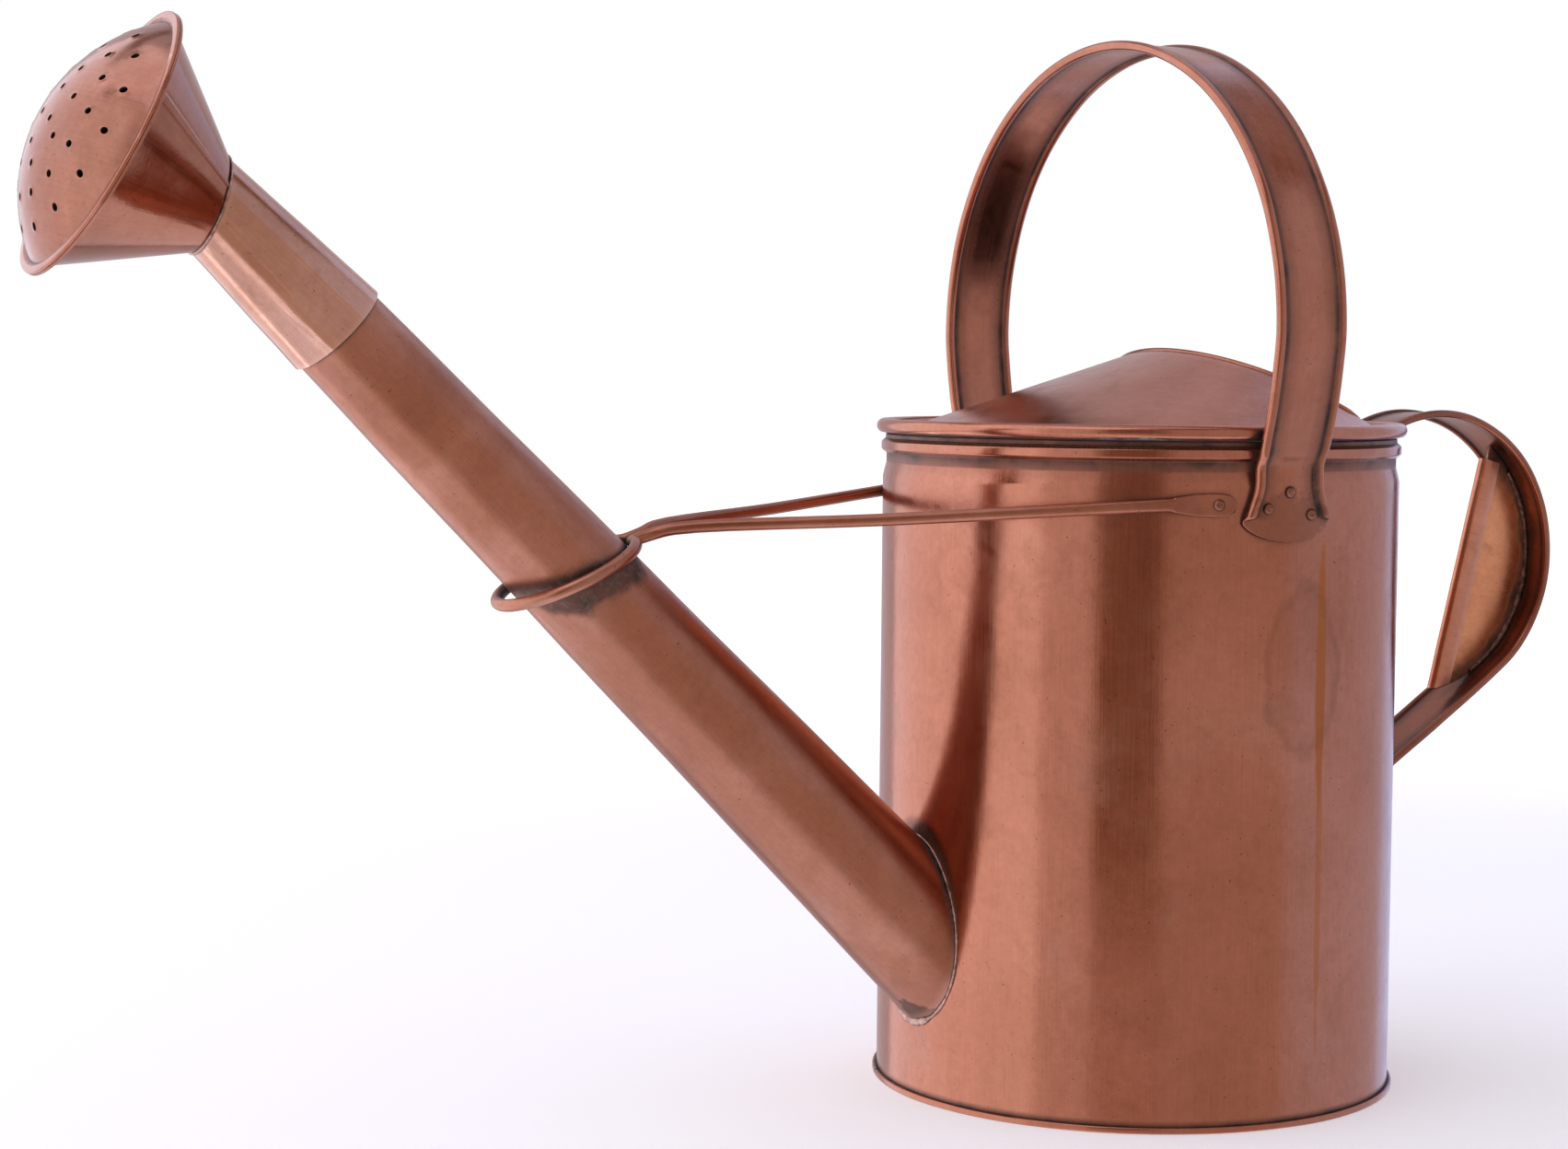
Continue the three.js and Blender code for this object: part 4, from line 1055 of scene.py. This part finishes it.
def build_rose_face():
    """A pierced dome. The sheet is laid out flat with its holes, then bent on to its sphere."""
    sphere_r = (FACE_R ** 2 + FACE_RISE ** 2) / (2 * FACE_RISE)
    holes = []
    random.seed(11)
    for radius, count, start in HOLE_RINGS:
        for i in range(count):
            psi = radians(start + 360 * i / count)
            shift = Vector((random.uniform(-0.25, 0.25), random.uniform(-0.25, 0.25)))
            holes.append(polar(radius, psi) + shift)

    def nearest(p):
        return min((p - hole).length for hole in holes)

    flat, edges = [], []

    def add_loop(centre, radius, count, turned):
        first = len(flat)
        for i in range(count):
            a = TURN * (i + turned) / count
            flat.append(centre + polar(radius, a))
            edges.append((first + i, first + (i + 1) % count))

    add_loop(Vector((0, 0)), FACE_R, 150, 0)
    for hole in holes:
        add_loop(hole, HOLE_R, 18, 0)
        add_loop(hole, HOLE_R + 0.25, 18, 0.5)
        add_loop(hole, HOLE_R + 0.9, 18, 0)
    for ring in range(1, 38):
        radius = FACE_R * (ring - 0.5) / 37.5
        count = max(6, round(TURN * radius / 1.7))
        for i in range(count):
            a = TURN * (i + 0.5 * (ring % 2)) / count
            p = polar(radius, a)
            if nearest(p) > HOLE_R + 1.3:
                flat.append(p)
    points, _, triangles, _, _, _ = geometry.delaunay_2d_cdt(flat, edges, [], 0, 1e-5)
    kept = [t for t in triangles if nearest(sum((points[i] for i in t), Vector((0, 0))) / 3) > HOLE_R * 0.985]
    outer, inner = [], []
    for p in points:
        lean = asin(min(0.9999, p.length / sphere_r))
        burr = 0.14 * (1 - smoothstep(HOLE_R + 0.1, HOLE_R + 0.9, nearest(p)))
        dent = 0.1 * rough(vec(p.x, p.y, 0), 17, 4) * smoothstep(FACE_R, FACE_R - 6, p.length)
        psi = atan2(p.y, p.x)
        for skin, radius in ((outer, sphere_r + burr + dent), (inner, sphere_r - SHEET * 0.8 + dent)):
            high = radius * cos(lean) - sphere_r + FACE_RISE
            skin.append(ring_point(FLANGE + ROSE_AXIS * high, ROSE_SIDE, radius * sin(lean), psi))
    count = len(points)
    used = {}
    for a, b, c in kept:
        for pair in ((a, b), (b, c), (c, a)):
            used[pair] = used.get(pair, 0) + 1
    rims = [(a, b) for a, b in used if (b, a) not in used]
    faces = [tuple(t) for t in kept]
    faces += [(a + count, c + count, b + count) for a, b, c in kept]
    faces += [(b, a, a + count, b + count) for a, b in rims]
    flat_uv = [(p.x * MM, p.y * MM) for p in points] * 2
    uvs = [[flat_uv[i] for i in face] for face in faces]
    build("rose_dome", [(outer + inner, faces, uvs)], face_copper, ["rose_face"], "rose", 50)


# ---- Studio ----------------------------------------------
def build_floor():
    mesh = bpy.data.meshes.new("floor")
    work = bmesh.new()
    bmesh.ops.create_circle(work, cap_ends=True, radius=7, segments=96)
    work.to_mesh(mesh)
    work.free()
    mesh.materials.append(floor_paper())
    floor = new_object("floor", mesh)
    floor.visible_glossy = False
    floor.visible_shadow = False


def panel(name, place, aim, size, radiance, tint):
    """A soft rectangular light that faces the point it is aimed at."""
    light = bpy.data.lights.new(name, "AREA")
    light.shape = "RECTANGLE"
    light.size, light.size_y = size
    light.energy = radiance * pi * size[0] * size[1]
    light.color = tint
    lamp = new_object(name, light)
    lamp.location = place
    lamp.rotation_euler = (Vector(aim) - lamp.location).to_track_quat("-Z", "Y").to_euler()
    lamp.visible_camera = False


def build_lights():
    """A ring of tall panels with one gap beside the camera, a ceiling panel and a panel under the paper."""
    ring = (
        ("left_front", -142, -166, 0.58, (0.94, 1.0, 1.12)),
        ("left", -166, -196, 1.05, (0.9, 1.0, 1.16)),
        ("rear_left", 164, 100, 1.15, (0.9, 1.0, 1.2)),
        ("rear", 100, 44, 0.38, (0.88, 1.0, 1.25)),
        ("rear_right", 44, 12, 0.6, (0.66, 1.0, 1.65)),
        ("far_right", 12, -56, 0.42, (0.76, 1.0, 1.42)),
        ("right", -56, -114, 0.3, (1.0, 1.05, 1.15)),
    )
    distance, middle, tall = 1.7, 0.3, 3.4
    for name, start, end, radiance, tint in ring:
        a = radians((start + end) / 2)
        wide = 2 * distance * tan(radians(start - end) / 2)
        place = (distance * cos(a), distance * sin(a), middle)
        panel(name, place, (0, 0, middle), (wide, tall), radiance, tint)
    panel("ceiling", (0.3, 0.2, 2.0), (0.3, 0.2, 0), (1.8, 2.4), 0.5, (0.84, 1.0, 1.35))
    panel("ceiling_left", (-1.1, 0, 2.0), (-1.1, 0, 0), (1.0, 2.4), 1.2, (0.9, 1.0, 1.25))
    gap, low = radians(-128), -0.8
    place = (distance * cos(gap), distance * sin(gap), low)
    panel("front_low", place, (0, 0, low), (0.82, 1.2), 0.3, (1.0, 0.98, 0.98))
    panel("under_paper", (-0.2, 0, -1.2), (-0.2, 0, 0), (2.6, 2.6), 0.85, (0.85, 1.0, 1.3))


def build_world():
    """White for camera rays and a dim warm room for all other rays."""
    world = bpy.data.worlds.new("studio")
    s = Shader(world)
    room = s.add("Background", {"Color": (1, 0.63, 0.5, 1), "Strength": 0.28}).outputs[0]
    white = s.add("Background", {"Color": (1, 1, 1, 1), "Strength": 1.0}).outputs[0]
    seen = s.add("LightPath").outputs["Is Camera Ray"]
    s.add("OutputWorld", {"Surface": s.add("MixShader", {0: seen, 1: room, 2: white}).outputs[0]})
    bpy.context.scene.world = world
    bpy.context.scene.view_settings.view_transform = "Standard"


def build_camera():
    """A viewpoint in front of the can and to the spout's side, a little above the rim."""
    azimuth, turn = radians(-35), radians(6.649)
    pitch, roll = radians(3.553), radians(0.508)
    distance, height = 1.195115, 0.27687
    heading = azimuth + turn
    ahead = vec(-sin(heading) * cos(pitch), cos(heading) * cos(pitch), -sin(pitch))
    right = ahead.cross(UP).normalized()
    up = right.cross(ahead)
    rolled_right = right * cos(roll) + up * sin(roll)
    rolled_up = up * cos(roll) - right * sin(roll)
    camera = bpy.data.cameras.new("camera")
    camera.sensor_width = 36
    camera.lens = 69.704
    camera.shift_y = -0.01238
    camera.clip_start = 0.01
    eye = new_object("camera", camera)
    axes = Matrix((rolled_right, rolled_up, -ahead)).transposed().to_4x4()
    place = vec(distance * sin(azimuth), -distance * cos(azimuth), height)
    eye.matrix_world = Matrix.Translation(place) @ axes
    bpy.context.scene.camera = eye


build_wall()
build_base()
build_foot()
build_rim()
build_hood()
build_hem()
build_hood_solder()
build_spout_root()
build_spout_end()
build_spout_solder()
build_brace()
build_bail()
build_grip()
build_web()
build_sleeve()
build_cone()
build_neck()
build_brim()
build_rose_face()
build_floor()
build_lights()
build_world()
build_camera()
